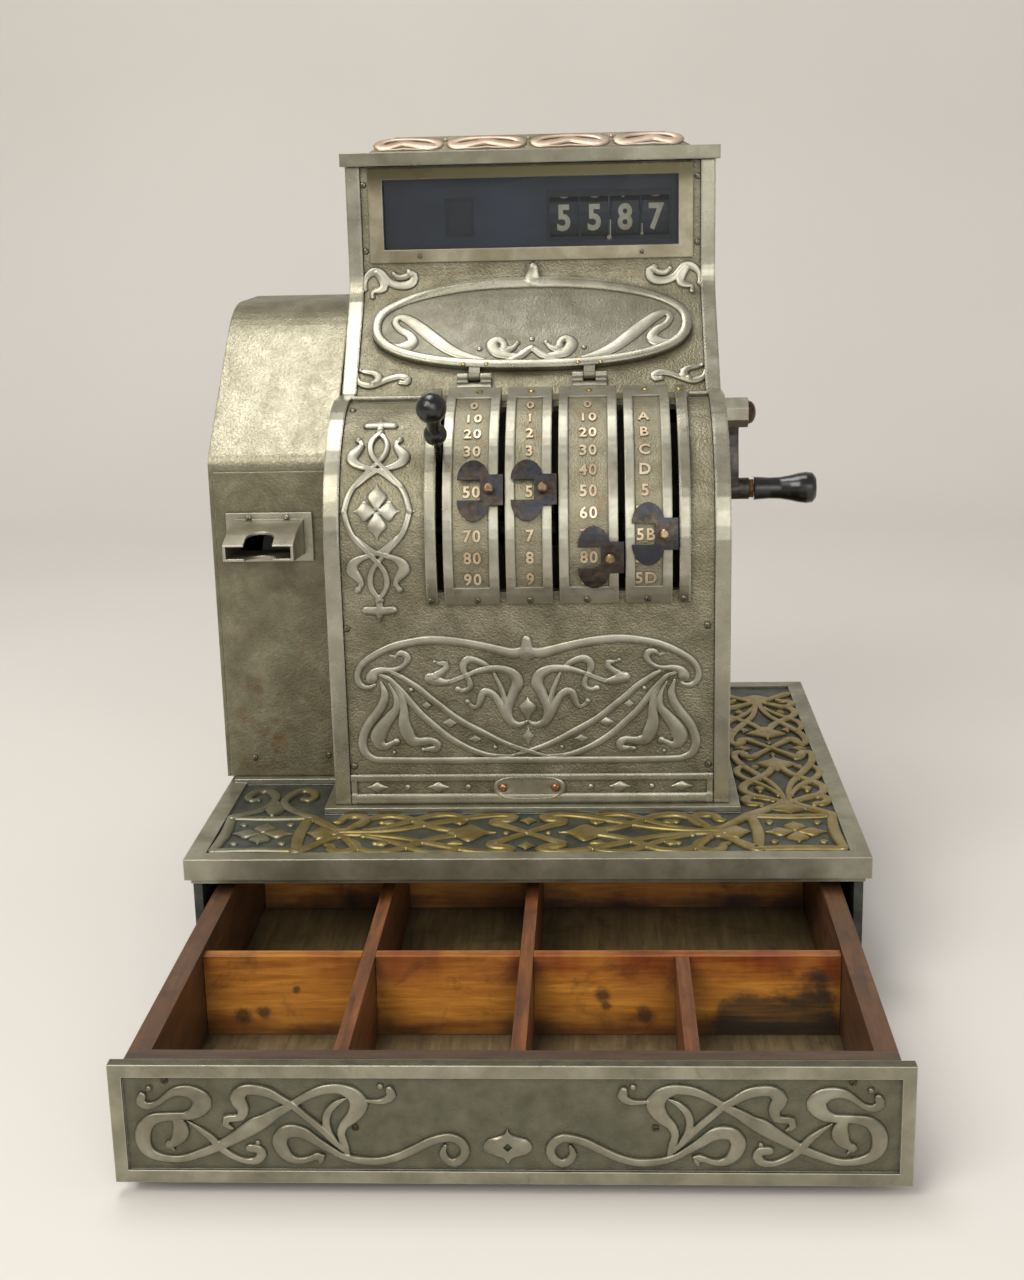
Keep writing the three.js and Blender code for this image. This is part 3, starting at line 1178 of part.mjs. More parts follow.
function crankHandle() {
  const start = GRIP_END + SEAT + WASHER_T + SIDE_PLAY;
  const bore = GRIP_PIN_R + RUN;
  const skin = HANDLE_RS.map((r, i) => [r, start + HANDLE_L * HANDLE_STATION_SHARES[i]]);
  const inside = [[0, start + HANDLE_BORE_L], [bore, start + HANDLE_BORE_L], [bore, start]];
  return turnedX([[bore, start], ...skin, [0, start + HANDLE_L], ...inside]);
}

function domeNut() {
  const start = HUB_END + SEAT;
  const dome = arc([0, 0], 1, NUT_EDGE_DEG, QUARTER_DEG, COVE_STEPS).map(([a, b]) => [
    CRANK_NUT_R * a,
    start + CRANK_NUT_H * b,
  ]);
  return turnedX([[0, start], [CRANK_NUT_R, start], ...dome], ROUND_SIDES);
}

function makeCrank() {
  const crank = assembly(machine, 0, CRANK_Y, CRANK_Z);
  node(crank, 'crank_shaft', rodX(CRANK_SHAFT_R, [CAB_HALF - CRANK_SHAFT_IN, HUB_END]), DARK_STEEL);
  node(crank, 'crank_arm', crankArm(), NICKEL);
  node(crank, 'crank_nut', domeNut(), DARK_STEEL);
  const grip = assembly(crank, 0, 0, -CRANK_THROW);
  node(grip, 'crank_pin', gripPin(), BRASS);
  node(grip, 'crank_handle', crankHandle(), BLACK);
}

makeBase();
makeDrawer();
makeCabinet();
makeLevers();
makeDisplay();
makeCounter();
makeDoor();
makePrinter();
makeCrank();

export default register;
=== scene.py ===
"""Looks of an antique lever cash register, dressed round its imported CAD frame."""

import math

import bmesh
import bpy
from mathutils import Matrix, Vector


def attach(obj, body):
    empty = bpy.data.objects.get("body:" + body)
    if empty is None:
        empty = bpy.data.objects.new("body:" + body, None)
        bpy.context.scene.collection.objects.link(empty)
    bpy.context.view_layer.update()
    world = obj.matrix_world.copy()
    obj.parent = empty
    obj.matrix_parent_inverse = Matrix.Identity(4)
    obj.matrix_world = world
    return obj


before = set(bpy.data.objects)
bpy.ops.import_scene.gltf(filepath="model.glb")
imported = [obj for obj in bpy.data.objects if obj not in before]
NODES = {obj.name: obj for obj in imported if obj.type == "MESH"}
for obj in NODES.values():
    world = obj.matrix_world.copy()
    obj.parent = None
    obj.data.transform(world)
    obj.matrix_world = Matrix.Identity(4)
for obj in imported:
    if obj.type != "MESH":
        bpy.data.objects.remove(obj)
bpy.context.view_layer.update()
MM = 0.001

# Places in mm that the looks share with the raised work

SHAFT_AT = (-9.8, 310.2)
STRIP_FIELD_R, STRIP_RIM_R = 116.5, 118.0
BASE_FIELD_Z, DRAWER_FIELD_Y = 108.0, -492.0
BASE_FIELD_HALF = (236.5, 216.5)

# The camera stands where the photograph was taken from

CAMERA_AT = (56.87, -1417.44, 581.55)
YAW, PITCH, ROLL = -0.0523, 0.2533, -0.0231
LENS = 49.31


def placed(name, data):
    """An object in the scene that shows some data."""
    made = bpy.data.objects.new(name, data)
    bpy.context.scene.collection.objects.link(made)
    return made


def make_camera():
    flat = math.cos(PITCH)
    ahead = Vector((math.sin(YAW) * flat, math.cos(YAW) * flat, -math.sin(PITCH)))
    level = Vector((math.cos(YAW), -math.sin(YAW), 0))
    upright = level.cross(ahead)
    right = level * math.cos(ROLL) + upright * math.sin(ROLL)
    up = upright * math.cos(ROLL) - level * math.sin(ROLL)
    data = bpy.data.cameras.new("camera")
    data.lens = LENS
    data.clip_start = 0.05
    camera = placed("camera", data)
    turn = Matrix((right, up, -ahead)).transposed()
    camera.matrix_world = Matrix.Translation(Vector(CAMERA_AT) * MM) @ turn.to_4x4()
    bpy.context.scene.camera = camera


make_camera()

# Node graphs

LOOKS = {}


def linear(colour):
    """A #rrggbb colour as linear values."""
    parts = [int(colour[i : i + 2], 16) / 255 for i in (1, 3, 5)]
    return tuple(c / 12.92 if c <= 0.04045 else ((c + 0.055) / 1.055) ** 2.4 for c in parts) + (1,)


class Graph:
    """Builds one procedural material and keeps it among the looks. Lengths are in mm."""

    def __init__(self, name):
        material = LOOKS[name] = bpy.data.materials.new(name)
        material.use_nodes = True
        self.tree = material.node_tree
        self.shader = self.tree.nodes["Principled BSDF"]
        self.place = self.node("TexCoord", "Object")

    def feed(self, socket, value):
        if isinstance(value, bpy.types.NodeSocket):
            self.tree.links.new(value, socket)
        else:
            socket.default_value = linear(value) if isinstance(value, str) else value

    def node(self, kind, output, inputs=(), **values):
        """Adds a node and gives one of its outputs."""
        made = self.tree.nodes.new("ShaderNode" + kind)
        for key, value in values.items():
            setattr(made, key, value)
        for key, value in dict(inputs).items():
            self.feed(made.inputs[key], value)
        return made.outputs[output]

    def sum(self, operation, a, b=0.0):
        return self.node("Math", 0, {0: a, 1: b}, operation=operation)

    def times(self, a, b):
        return self.sum("MULTIPLY", a, b)

    def plus(self, a, b):
        return self.sum("ADD", a, b)

    def vector(self, operation, a, b, output=0):
        return self.node("VectorMath", output, {0: a, 1: b}, operation=operation)

    def mix(self, share, a, b, blend="MIX"):
        return self.node("Mix", 2, {"Factor": share, 6: a, 7: b}, data_type="RGBA", blend_type=blend)

    def axis(self, name):
        return self.node("SeparateXYZ", name, {0: self.place})

    def stretched(self, *shares):
        return self.vector("MULTIPLY", self.place, shares)

    def noise(self, size, detail=3.0, rough=0.6, place=None, warp=0.0):
        inputs = {"Vector": place or self.place, "Scale": 1 / (size * MM)}
        inputs.update({"Detail": detail, "Roughness": rough, "Distortion": warp})
        return self.node("TexNoise", "Fac", inputs)

    def cells(self, size, feature="F1"):
        inputs = {"Vector": self.place, "Scale": 1 / (size * MM)}
        return self.node("TexVoronoi", "Distance", inputs, feature=feature)

    def ramp(self, value, stops):
        made = self.node("ValToRGB", "Color", {"Fac": value})
        marks = made.node.color_ramp.elements
        while len(marks) < len(stops):
            marks.new(0.5)
        for mark, (at, shade) in zip(marks, stops):
            mark.position = at
            mark.color = linear(shade) if isinstance(shade, str) else (shade, shade, shade, 1)
        return made

    def cloud(self, stops, *noise, **more):
        """Noise turned into colours or shares."""
        return self.ramp(self.noise(*noise, **more), stops)

    def tones(self, size, shades, rough=0.6, spread=0.2, warp=0.3):
        """Clouds in three shades, dark to light."""
        stops = list(zip((0.5 - spread, 0.5, 0.5 + spread), shades))
        return self.cloud(stops, size, 5.0, rough, warp=warp)

    def shine(self, size, low, high, detail=4.0):
        """Uneven roughness."""
        return self.cloud([(0.3, low), (0.7, high)], size, detail)

    def step(self, value, low, high):
        """0 at low and 1 at high, for a value in metres."""
        inputs = {"Value": value, "From Min": low * MM, "From Max": high * MM}
        return self.node("MapRange", "Result", inputs, interpolation_type="SMOOTHSTEP")

    def within(self, name, low, high, soft=0.4):
        """1 between two places on an axis, and 0 beyond them."""
        value = self.axis(name)
        return self.times(self.step(value, low - soft, low), self.step(value, high + soft, high))

    def spot(self, at, reach):
        """1 at a place, and 0 beyond a ragged edge."""
        away = self.vector("DISTANCE", self.place, Vector(at) * MM, "Value")
        rough = self.times(self.noise(reach * 0.7, 4.0, 0.7), reach * MM)
        return self.step(self.plus(away, rough), 1.5 * reach, 0.8 * reach)

    def smear(self, low, high, rough, soft=6):
        """1 within a box, and 0 beyond its ragged sides."""
        made = 1.0
        for k, name in enumerate("XYZ"):
            wander = self.sum("SUBTRACT", self.noise(30 + k, 5.0, 0.62), 0.5)
            value = self.plus(self.axis(name), self.times(wander, rough * MM))
            for edge, way in ((low[k], -soft), (high[k], soft)):
                made = self.times(made, self.step(value, edge + way, edge - way))
        return made

    def soft_edges(self, radius):
        """A normal that rounds the sharp edges."""
        return self.node("Bevel", "Normal", {"Radius": radius * MM}, samples=4)

    def worn_edges(self, radius, share):
        """Near share on sharp edges, and 0 on flat faces, for edges made lighter as wear and painted
        highlight.
        """
        plain = self.node("NewGeometry", "Normal")
        bend = self.vector("DOT_PRODUCT", self.soft_edges(radius), plain, "Value")
        return self.ramp(bend, [(0.86, share), (0.975, 0.0)])

    def grime(self, reach, share):
        """Near share in corners and crevices, and 0 in the open: ambient occlusion, used for dirt and
        painted shade.
        """
        light = self.node("AmbientOcclusion", "AO", {"Distance": reach * MM}, samples=4)
        return self.ramp(light, [(0.3, share), (0.85, 0.0)])

    def finish(self, colour, rough, metal=0.0, height=None, depth=0.0, round_to=0.0, **others):
        """Feeds the shader. A height gives relief of some depth over edges that are rounded."""
        values = {"Base Color": colour, "Roughness": rough, "Metallic": metal, **others}
        if height is not None:
            relief = {"Height": height, "Distance": depth * MM}
            if round_to:
                relief["Normal"] = self.soft_edges(round_to)
            values["Normal"] = self.node("Bump", "Normal", relief)
        for key, value in values.items():
            self.feed(self.shader.inputs[key.replace("_", " ")], value)


def lever_radius(g):
    """Distance from the lever shaft, in metres."""
    y = g.plus(g.axis("Y"), -SHAFT_AT[0] * MM)
    z = g.sum("SUBTRACT", g.axis("Z"), SHAFT_AT[1] * MM)
    return g.sum("SQRT", g.plus(g.times(y, y), g.times(z, z)))


# Colours mixed in: dirt and painted shade in corners, green patina in hollows, lighter edges as wear and
# painted highlight, and a painted shadow that darkens with height
GRIME_AND_SHADE, VERDIGRIS, WEAR_AND_HIGHLIGHT, SHADE = "#2b2a1c", "#56655a", "#dbd7c8", "#565039"
FOOT_SPOTS, COVER_SPOTS, DRAWER_GREEN = "#6a4a28", "#3f4136", "#4f5d41"
# In the drawer's wood: a painted shadow darkens the lower part of the boards across it, and dirt and painted
# shade darken its corners
REDDISH, LOW_SHADOW, STAIN, BURN, SMEAR, CORNER = "#9c5a3c", "#553719", "#2a1a0e", "#1f1b17", "#24251f", "#1f140b"


def aged(g, colour, reach, share, edge, rub_and_highlight):
    """Lighter edges, as rubbed wear and painted highlight, then dirt and painted shade in the corners, and a
    little green patina there.
    """
    colour = g.mix(g.worn_edges(edge, rub_and_highlight), colour, WEAR_AND_HIGHLIGHT)
    corners = g.grime(reach, 1.0)
    green = g.times(corners, g.cloud([(0.5, 0.0), (0.62, 0.55)], 34))
    colour = g.mix(g.times(corners, share), colour, GRIME_AND_SHADE)
    return g.mix(green, colour, VERDIGRIS)


def cast_ground(name, *shades, depth=0.34):
    """Stippled plated casting, darker in its pits, darkened beside the raised work by dirt and painted
    shade.
    """
    g = Graph(name)
    pits = g.cells(1.5, "SMOOTH_F1")
    fine = g.noise(1.8, 2.0, warp=0.6)
    base = g.tones(30, shades, 0.65, 0.18)
    colour = g.mix(g.ramp(pits, [(0.3, 0.0), (0.8, 0.5)]), base, shades[0])
    colour = aged(g, colour, 6, 0.75, 0.5, 0.3)
    height = g.plus(g.times(pits, -1.0), fine)
    g.finish(colour, g.shine(9, 0.34, 0.5), 0.7, height, depth, 0.5)


def printer_skin(name, *shades):
    """The printer's casting: a painted highlight on its slope, brown spots near its foot."""
    g = Graph(name)
    pits = g.cells(1.7, "SMOOTH_F1")
    place = g.stretched(1.0, 0.4, 0.4)
    # A painted highlight: lighter colour on the slope, between heights of 380 and 462 mm
    slope_highlight = g.cloud([(0.3, "#817c67"), (0.6, "#a29c86")], 22, 6.0, 0.75, place=place)
    slope = g.within("Z", 380, 462, 16)
    colour = g.mix(slope, g.tones(26, shades, 0.65, 0.18), slope_highlight)
    colour = g.mix(g.ramp(pits, [(0.3, 0.0), (0.8, 0.35)]), colour, shades[0])
    low = g.step(g.axis("Z"), 300, 130)
    spots = g.times(low, g.cloud([(0.53, 0.0), (0.66, 0.6)], 15, 5.0, 0.7))
    colour = g.mix(spots, colour, FOOT_SPOTS)
    colour = g.mix(g.cloud([(0.66, 0.0), (0.72, 0.6)], 7, 5.0, 0.8, warp=0.5), colour, COVER_SPOTS)
    colour = aged(g, colour, 4, 0.6, 1.0, 0.8)
    height = g.plus(g.times(pits, -1.0), g.noise(2.2, 2.0, warp=0.6))
    shine = g.sum("SUBTRACT", g.shine(9, 0.36, 0.5), g.times(slope, 0.06))
    g.finish(colour, shine, 0.7, height, 0.3, 2.0)


def smooth_plate(name, *shades, metal=0.8, rough=(0.26, 0.42), grime=0.7, round_to=0.6, reach=3, shade=None):
    """Smooth plated metal with rubbed, cloudy wear, lighter edges as wear and painted highlight, and dirt
    and painted shade in its corners. It may darken with height, as a painted shadow.
    """
    g = Graph(name)
    speck = g.noise(1.8, 3.0, 0.7)
    colour = g.mix(g.ramp(speck, [(0.6, 0.0), (0.74, 0.3)]), g.tones(30, shades), shades[0])
    # A painted shadow: darker with height, as under the lid's overhang
    if shade:
        colour = g.mix(g.step(g.axis("Z"), *shade), colour, SHADE)
    colour = aged(g, colour, reach, grime, round_to, 0.5)
    wave = g.plus(g.noise(7, 2.0), g.times(speck, 0.25))
    g.finish(colour, g.shine(16, *rough), metal, wave, 0.04, round_to)


def recessed(g, inside, colour, dirt, shine, dull, wave, depth, round_to, metal=0.7):
    """Ends a look whose recessed field, where inside is 1, is duller and rougher than its rim."""
    # Dirt and painted shade in the corners, and lighter edges as wear and painted highlight
    colour = aged(g, colour, *dirt)
    grains, amount = wave
    height = g.plus(g.noise(6, 2.0), g.times(g.cells(grains), g.times(inside, amount)))
    g.finish(colour, g.plus(shine, g.times(inside, dull)), metal, height, depth, round_to)


def base_plate(name, *shades):
    """Smooth edges round a dark recessed field, told apart by place and height."""
    g = Graph(name)
    rim = g.tones(34, shades)
    field = g.cloud([(0.3, "#3c423f"), (0.7, "#646860")], 16, 5.0)
    across, along = BASE_FIELD_HALF
    middle = g.times(g.within("X", -across, across), g.within("Y", -along, along))
    inside = g.times(middle, g.within("Z", BASE_FIELD_Z - 1, BASE_FIELD_Z + 1.1))
    colour = g.mix(inside, rim, field)
    recessed(g, inside, colour, (5, 0.75, 1.0, 0.9), g.shine(14, 0.3, 0.45), 0.12, (1.5, 2.0), 0.1, 1.0)


def drawer_plate(name, *shades):
    """Worn rim round a dark green-grey recessed field."""
    g = Graph(name)
    rim = g.cloud(list(zip((0.3, 0.5, 0.72), shades)), 34, 5.0, 0.6, warp=0.3)
    field = g.cloud([(0.3, "#545344"), (0.7, "#706d5b")], 14, 5.0)
    inside = g.step(g.axis("Y"), DRAWER_FIELD_Y - 1.5, DRAWER_FIELD_Y - 0.8)
    green = g.cloud([(0.6, 0.0), (0.7, 0.5)], 26, 6.0, 0.75, warp=0.8)
    colour = g.mix(green, g.mix(inside, rim, field), DRAWER_GREEN)
    recessed(g, inside, colour, (5, 0.8, 0.9, 0.9), g.shine(14, 0.3, 0.46), 0.1, (1.4, 2.0), 0.12, 0.9)


def strip_metal(name, *shades):
    """Polished edges and a stained, faintly rusty field where the numbers stand."""
    g = Graph(name)
    edge = g.cloud(list(zip((0.3, 0.55, 0.75), shades)), 30, 5.0, 0.6, warp=0.4)
    clean = g.cloud([(0.35, "#77715c"), (0.65, "#948e78")], 16, 5.0, 0.7)
    rust = g.cloud([(0.56, 0.0), (0.70, 0.6)], 13, 5.0, 0.7, warp=0.6)
    field = g.step(lever_radius(g), STRIP_FIELD_R + 1, STRIP_FIELD_R + 0.5)
    colour = g.mix(field, edge, g.mix(rust, clean, "#80603a"))
    colour = g.mix(g.cloud([(0.66, 0.0), (0.74, 0.6)], 9, 5.0, 0.8, warp=0.4), colour, "#7a5a36")
    shine = g.shine(8, 0.26, 0.4)
    recessed(g, field, colour, (4, 0.8, 0.6, 0.5), shine, 0.12, (1.3, 2.5), 0.09, 1.6, 0.74)


def brass_band(name, *shades):
    """Brass-yellow raised bands, greyer towards the left corner."""
    g = Graph(name)
    yellow = g.tones(24, shades, 0.65, warp=0.4)
    grey = g.cloud([(0.3, "#747361"), (0.7, "#94927f")], 24, 5.0, 0.65)
    place = g.plus(g.axis("X"), g.times(g.noise(40), 90 * MM))
    colour = aged(g, g.mix(g.step(place, -100, -160), yellow, grey), 3, 0.7, 0.7, 0.7)
    g.finish(colour, g.shine(12, 0.28, 0.44), 0.8, g.noise(5), 0.06, 0.7)


# Burn spots (place, reach) and smears (low corner, high corner) on the boards across the drawer

BOARD_SPOTS = (
    ((56, -332, 52), 8), ((58, -332, 44), 5), ((-190, -332, 36), 9), ((-176, -332, 39), 7),
    ((-152, -332, 56), 4), ((84, -332, 38), 9), ((112, -332, 40), 6), ((-100, -332, 40), 5),
)
BOARD_SMEARS = (((133, -350, 18), (216, -310, 50)), ((194, -350, 44), (207, -310, 70)))


def banded(g, colour):
    """Reddish wood above, and a painted shadow darkening the wood below, with ragged limits."""
    wander = g.noise(30, 4.0, place=g.stretched(0.5, 1, 1))
    ragged = g.plus(g.axis("Z"), g.times(wander, 36 * MM))
    uneven = g.cloud([(0.35, 0.3), (0.65, 1.0)], 60, place=g.stretched(1, 0.3, 0.3))
    # The lower limits paint a shadow over the low part of the boards
    for limits, tone in (((70, 92), REDDISH), ((58, 45), LOW_SHADOW)):
        colour = g.mix(g.times(g.step(ragged, *limits), uneven), colour, tone, "MULTIPLY")
    return colour


def wood(name, *shades, along=(1.0, 0.08, 1.0), stain=0.55, grime=0.7, burnt_and_shaded=False):
    """Old varnished wood with grain along one axis, dark stains, corners darkened by dirt and painted shade,
    and lighter edges as rubbed wear and painted highlight.
    """
    g = Graph(name)
    grain = g.noise(5, 6.0, 0.68, place=g.stretched(*along), warp=0.35)
    broad = g.noise(30, place=g.stretched(*[0.4 + 0.6 * a for a in along]))
    base = g.ramp(grain, list(zip((0.28, 0.5, 0.7), shades)))
    colour = g.mix(g.ramp(broad, [(0.35, 0.0), (0.65, 0.45)]), base, shades[1])
    if burnt_and_shaded:
        colour = banded(g, colour)
    colour = g.mix(g.cloud([(0.52, 0.0), (0.68, stain)], 42, 6.0, 0.7, warp=0.8), colour, STAIN)
    if burnt_and_shaded:
        for at, reach in BOARD_SPOTS:
            colour = g.mix(g.times(g.spot(at, reach), 0.75), colour, BURN)
        for low, high in BOARD_SMEARS:
            share = g.times(g.smear(low, high, 44), g.ramp(grain, [(0.3, 0.95), (0.7, 0.7)]))
            colour = g.mix(share, colour, SMEAR)
    # Lighter edges, as rubbed wear and painted highlight
    colour = g.mix(g.worn_edges(1.2, 0.5), colour, shades[2])
    # Dirt and painted shade darken the corners
    colour = g.mix(g.grime(22, grime), colour, CORNER)
    shine = g.ramp(broad, [(0.3, 0.4), (0.7, 0.6)])
    g.finish(colour, shine, 0.0, grain, 0.12, 0.8, Coat_Weight=0.15, Coat_Roughness=0.3)


def painted(name, dark, light, rough, metal, depth=0.05, size=12, round_to=0.4, tint=None):
    """Dull paint or dark steel with a little cloudiness."""
    g = Graph(name)
    colour = g.cloud([(0.32, dark), (0.68, light)], size, 4.0, 0.65)
    if tint:
        colour = g.mix(g.cloud([(0.46, 0.0), (0.6, 0.8)], 18), colour, tint)
    g.finish(colour, g.shine(5, rough - 0.08, rough + 0.08, 3.0), metal, g.noise(2.5), depth, round_to)


def gloss_black(name, dark, light):
    g = Graph(name)
    colour = g.cloud([(0.3, dark), (0.7, light)], 8)
    shine = g.cloud([(0.35, 0.1), (0.7, 0.22)], 6, 4.0)
    g.finish(colour, shine, 0.0, g.noise(3, 2.0), 0.012, 4.0, Coat_Weight=0.4, Coat_Roughness=0.06)


def clear_glass(name, dark, light):
    g = Graph(name)
    dust = g.noise(12, 5.0, 0.7)
    shine = g.ramp(dust, [(0.4, 0.01), (0.75, 0.09)])
    g.finish(g.ramp(dust, [(0.3, dark), (0.7, light)]), shine, Transmission_Weight=1.0, IOR=1.45)


def pale_wall(name, dark, light):
    g = Graph(name)
    g.finish(g.cloud([(0.3, dark), (0.7, light)], 900, 2.0), 0.8)


def paper_white(name, dark, light):
    g = Graph(name)
    colour = g.cloud([(0.3, dark), (0.7, light)], 25, 4.0)
    g.finish(colour, 0.85, 0.0, g.noise(1.2, 4.0, 0.7), 0.05)


ACROSS = (0.08, 1.0, 1.0)
# The frame: worn rounded edges, dirt and painted shade with a long reach, and a painted shadow darkening its
# top bar under the lid
FRAME_WEAR_AND_SHADE = {"round_to": 1.2, "reach": 18, "shade": (574, 592)}

cast_ground("ground", "#68624d", "#827c66", "#98927c")
cast_ground("door_ground", "#6c6858", "#7c7868", "#8b8777", depth=0.16)
cast_ground("side", "#7f7a67", "#8b8672", "#98937f", depth=0.15)
printer_skin("cover", "#645f4b", "#77725c", "#8b866f")
smooth_plate("relief", "#8b8776", "#a29e8e", "#b7b4a6", rough=(0.28, 0.44))
smooth_plate("relief_dark", "#6f6c5c", "#868371", "#9f9c8a", rough=(0.28, 0.42))
smooth_plate("crest", "#a5917d", "#c0aa95", "#d4c2b0", rough=(0.32, 0.46), grime=0.6)
smooth_plate("bar", "#8e8a79", "#9c9887", "#aca898", rough=(0.22, 0.36), round_to=2.6)
smooth_plate("frame", "#7c745d", "#8f8770", "#a8a08a", rough=(0.26, 0.4), **FRAME_WEAR_AND_SHADE)
smooth_plate("lid", "#6a6757", "#787564", "#898674", round_to=1.6)
smooth_plate("chute", "#8b8776", "#a4a08f", "#bab7a7", round_to=1.2)
smooth_plate("counter", "#6a5020", "#957236", "#b28d4c")
smooth_plate("numeral", "#a58a68", "#c6b193", "#ded1ba", metal=0.6, rough=(0.28, 0.42), grime=0.4)
brass_band("band", "#7d6c3e", "#97854f", "#a4986f")
base_plate("base_plate", "#7b7865", "#918e7b", "#a6a391")
drawer_plate("drawer_plate", "#716f5d", "#888572", "#9f9c89")
strip_metal("strip_metal", "#918d7c", "#aaa796", "#bfbcac")
painted("case", "#2b2d29", "#4a4d46", 0.5, 0.4)
painted("rail", "#2a2825", "#46423c", 0.45, 0.7)
painted("shaft", "#1b1917", "#37332e", 0.42, 0.8)
painted("lever", "#2b2520", "#524940", 0.32, 0.8, size=6, tint="#35383f")
painted("knob", "#75604a", "#a38a6c", 0.26, 0.9, size=4, round_to=1.2)
painted("crank", "#2e2b27", "#55504a", 0.4, 0.7, size=7, round_to=1.2)
painted("nut", "#3a2c21", "#664f3c", 0.36, 0.75, size=5, round_to=1.0)
painted("rust", "#4d2f1a", "#8a5c32", 0.6, 0.4, size=3)
painted("old_screw", "#1f1813", "#5a4632", 0.6, 0.4, size=2)
painted("screw", "#524e42", "#8a8573", 0.3, 0.85, size=3)
painted("brass", "#97814f", "#c6ad74", 0.28, 0.9, size=4)
painted("copper", "#8f6145", "#bd8c69", 0.28, 0.9, size=4)
painted("cream", "#b9ad8c", "#ddd3b4", 0.5, 0.0, depth=0.02)
painted("flag", "#050608", "#0b0d11", 0.5, 0.1)
painted("flag_back", "#12161c", "#1a1f27", 0.5, 0.1)
painted("mask", "#171c25", "#2f3746", 0.5, 0.1, size=45)
painted("drum", "#0b0d12", "#151820", 0.45, 0.1)
wood("wood", "#3a200f", "#6a3c1b", "#8e5729")
wood("wood_side", "#331f10", "#56361c", "#724a26", stain=0.7)
wood("wood_across", "#7e4717", "#b87729", "#dc9d42", along=ACROSS, burnt_and_shaded=True)
wood("wood_worn", "#33241b", "#4a3527", "#634936", along=ACROSS, stain=0.4)
wood("floor_wood", "#3f3725", "#6b5c3e", "#877552", stain=0.6, grime=0.5)
gloss_black("gloss_black", "#060607", "#0e0e10")
clear_glass("clear_glass", "#e9eef2", "#dfe5ea")
paper_white("paper_white", "#d8cfb8", "#ece5d3")
pale_wall("backdrop", "#d9d5cf", "#dedad4")

# Each look's nodes of the frame

LOOK_NODES = {
    "base_plate": "base_top_plate",
    "case": "base_side_right base_side_left base_back",
    "rail": "drawer_runner_right drawer_runner_left",
    "floor_wood": "base_bottom drawer_floor",
    "drawer_plate": "drawer_front_plate",
    "wood_worn": "drawer_front_board",
    "wood_side": "drawer_side_right drawer_side_left",
    "wood_across": "drawer_back_board drawer_cross_divider",
    "wood": "drawer_divider_left drawer_divider_middle drawer_divider_right",
    "bar": "cabinet_side_right cabinet_side_left edge_strip_left edge_strip_right"
    " door_hinge_left door_hinge_right",
    "side": "cabinet_back",
    "ground": "lower_front_panel upper_front_panel lid_crest",
    "frame": "window_frame",
    "lid": "lid",
    "clear_glass": "front_glass rear_glass",
    "strip_metal": "index_strip_1 index_strip_2 index_strip_3 index_strip_4",
    "lever": "lever_1 lever_2 lever_3 lever_4",
    "shaft": "lever_shaft knob_lever drum_shaft paper_spindle crank_shaft",
    "gloss_black": "lever_knob crank_handle",
    "mask": "indicator_mask",
    "drum": "digit_drum_1 digit_drum_2 digit_drum_3 digit_drum_4",
    "counter": "counter_wheels",
    "door_ground": "oval_door",
    "cover": "printer_cover printer_front_plate",
    "chute": "receipt_chute",
    "paper_white": "paper_roll",
    "crank": "crank_arm",
    "nut": "crank_nut",
    "rust": "crank_pin",
}
for look, names in LOOK_NODES.items():
    for name in names.split():
        slots = NODES[name].data.materials
        slots.clear()
        slots.append(LOOKS[look])


# Surfaces that carry the raised work. Each turns a place (across, along, out) in mm into a point.

PANEL_FOOT, PANEL_FACE = 113.3, -119.5
PANEL_R = SHAFT_AT[0] - PANEL_FACE
PANEL_STRAIGHT = SHAFT_AT[1] - PANEL_FOOT
SLOPE_FOOT, SLOPE_L = (10.0, 419.95), 93.74
COVE_AT, COVE_R = (48.0, 514.52), 40.0
DIAGONAL = math.sqrt(0.5)
UPPER_FACE, DOOR_FACE = 2.5, -2.0
HINGE_AT, CHORD = (19.55, 431.33), math.radians(48.5)
DRAWER_SCROLL_FOOT = 10.5
CREST_FOOT, CREST_RUN, CREST_RISE = (90.0, 611.3), 21.0, 12.0


def round_shaft(u, reach, turn):
    return u, SHAFT_AT[0] - reach * math.cos(turn), SHAFT_AT[1] + reach * math.sin(turn)


def on_lower(u, v, h):
    """The lower front: upright, then round the lever shaft."""
    if v <= PANEL_STRAIGHT:
        return u, PANEL_FACE - h, PANEL_FOOT + v
    return round_shaft(u, PANEL_R + h, (v - PANEL_STRAIGHT) / PANEL_R)


def on_slope(u, v, inset):
    """The upper front, set in from the cabinet's edge: up the slope, round the cove, upright."""
    if v <= SLOPE_L:
        out = DIAGONAL * inset
        return u, SLOPE_FOOT[0] + DIAGONAL * v + out, SLOPE_FOOT[1] + DIAGONAL * v - out
    turn = (v - SLOPE_L) / COVE_R
    past = max(turn - math.pi / 4, 0)
    turn -= past + math.pi / 4
    reach = COVE_R + inset
    return u, COVE_AT[0] + reach * math.cos(turn), COVE_AT[1] + reach * math.sin(turn) + past * COVE_R


def on_upper(u, v, h):
    return on_slope(u, v, UPPER_FACE - h)


def on_door(u, v, h):
    return on_slope(u, v, DOOR_FACE - h)


def on_base(u, v, h):
    return u, v, BASE_FIELD_Z + h


def on_drawer(u, v, h):
    return u, DRAWER_FIELD_Y - h, DRAWER_SCROLL_FOOT + v


def on_crest(u, v, h):
    """The lid's front slope, with v up the slope."""
    slope = math.hypot(CREST_RUN, CREST_RISE)
    run, rise = CREST_RUN / slope, CREST_RISE / slope
    return u, CREST_FOOT[0] + v * run - h * rise, CREST_FOOT[1] + v * rise + h * run


def on_strip(u, v, h):
    """A number strip, with v as the angle above level in degrees."""
    return round_shaft(u, STRIP_FIELD_R + h, math.radians(v))


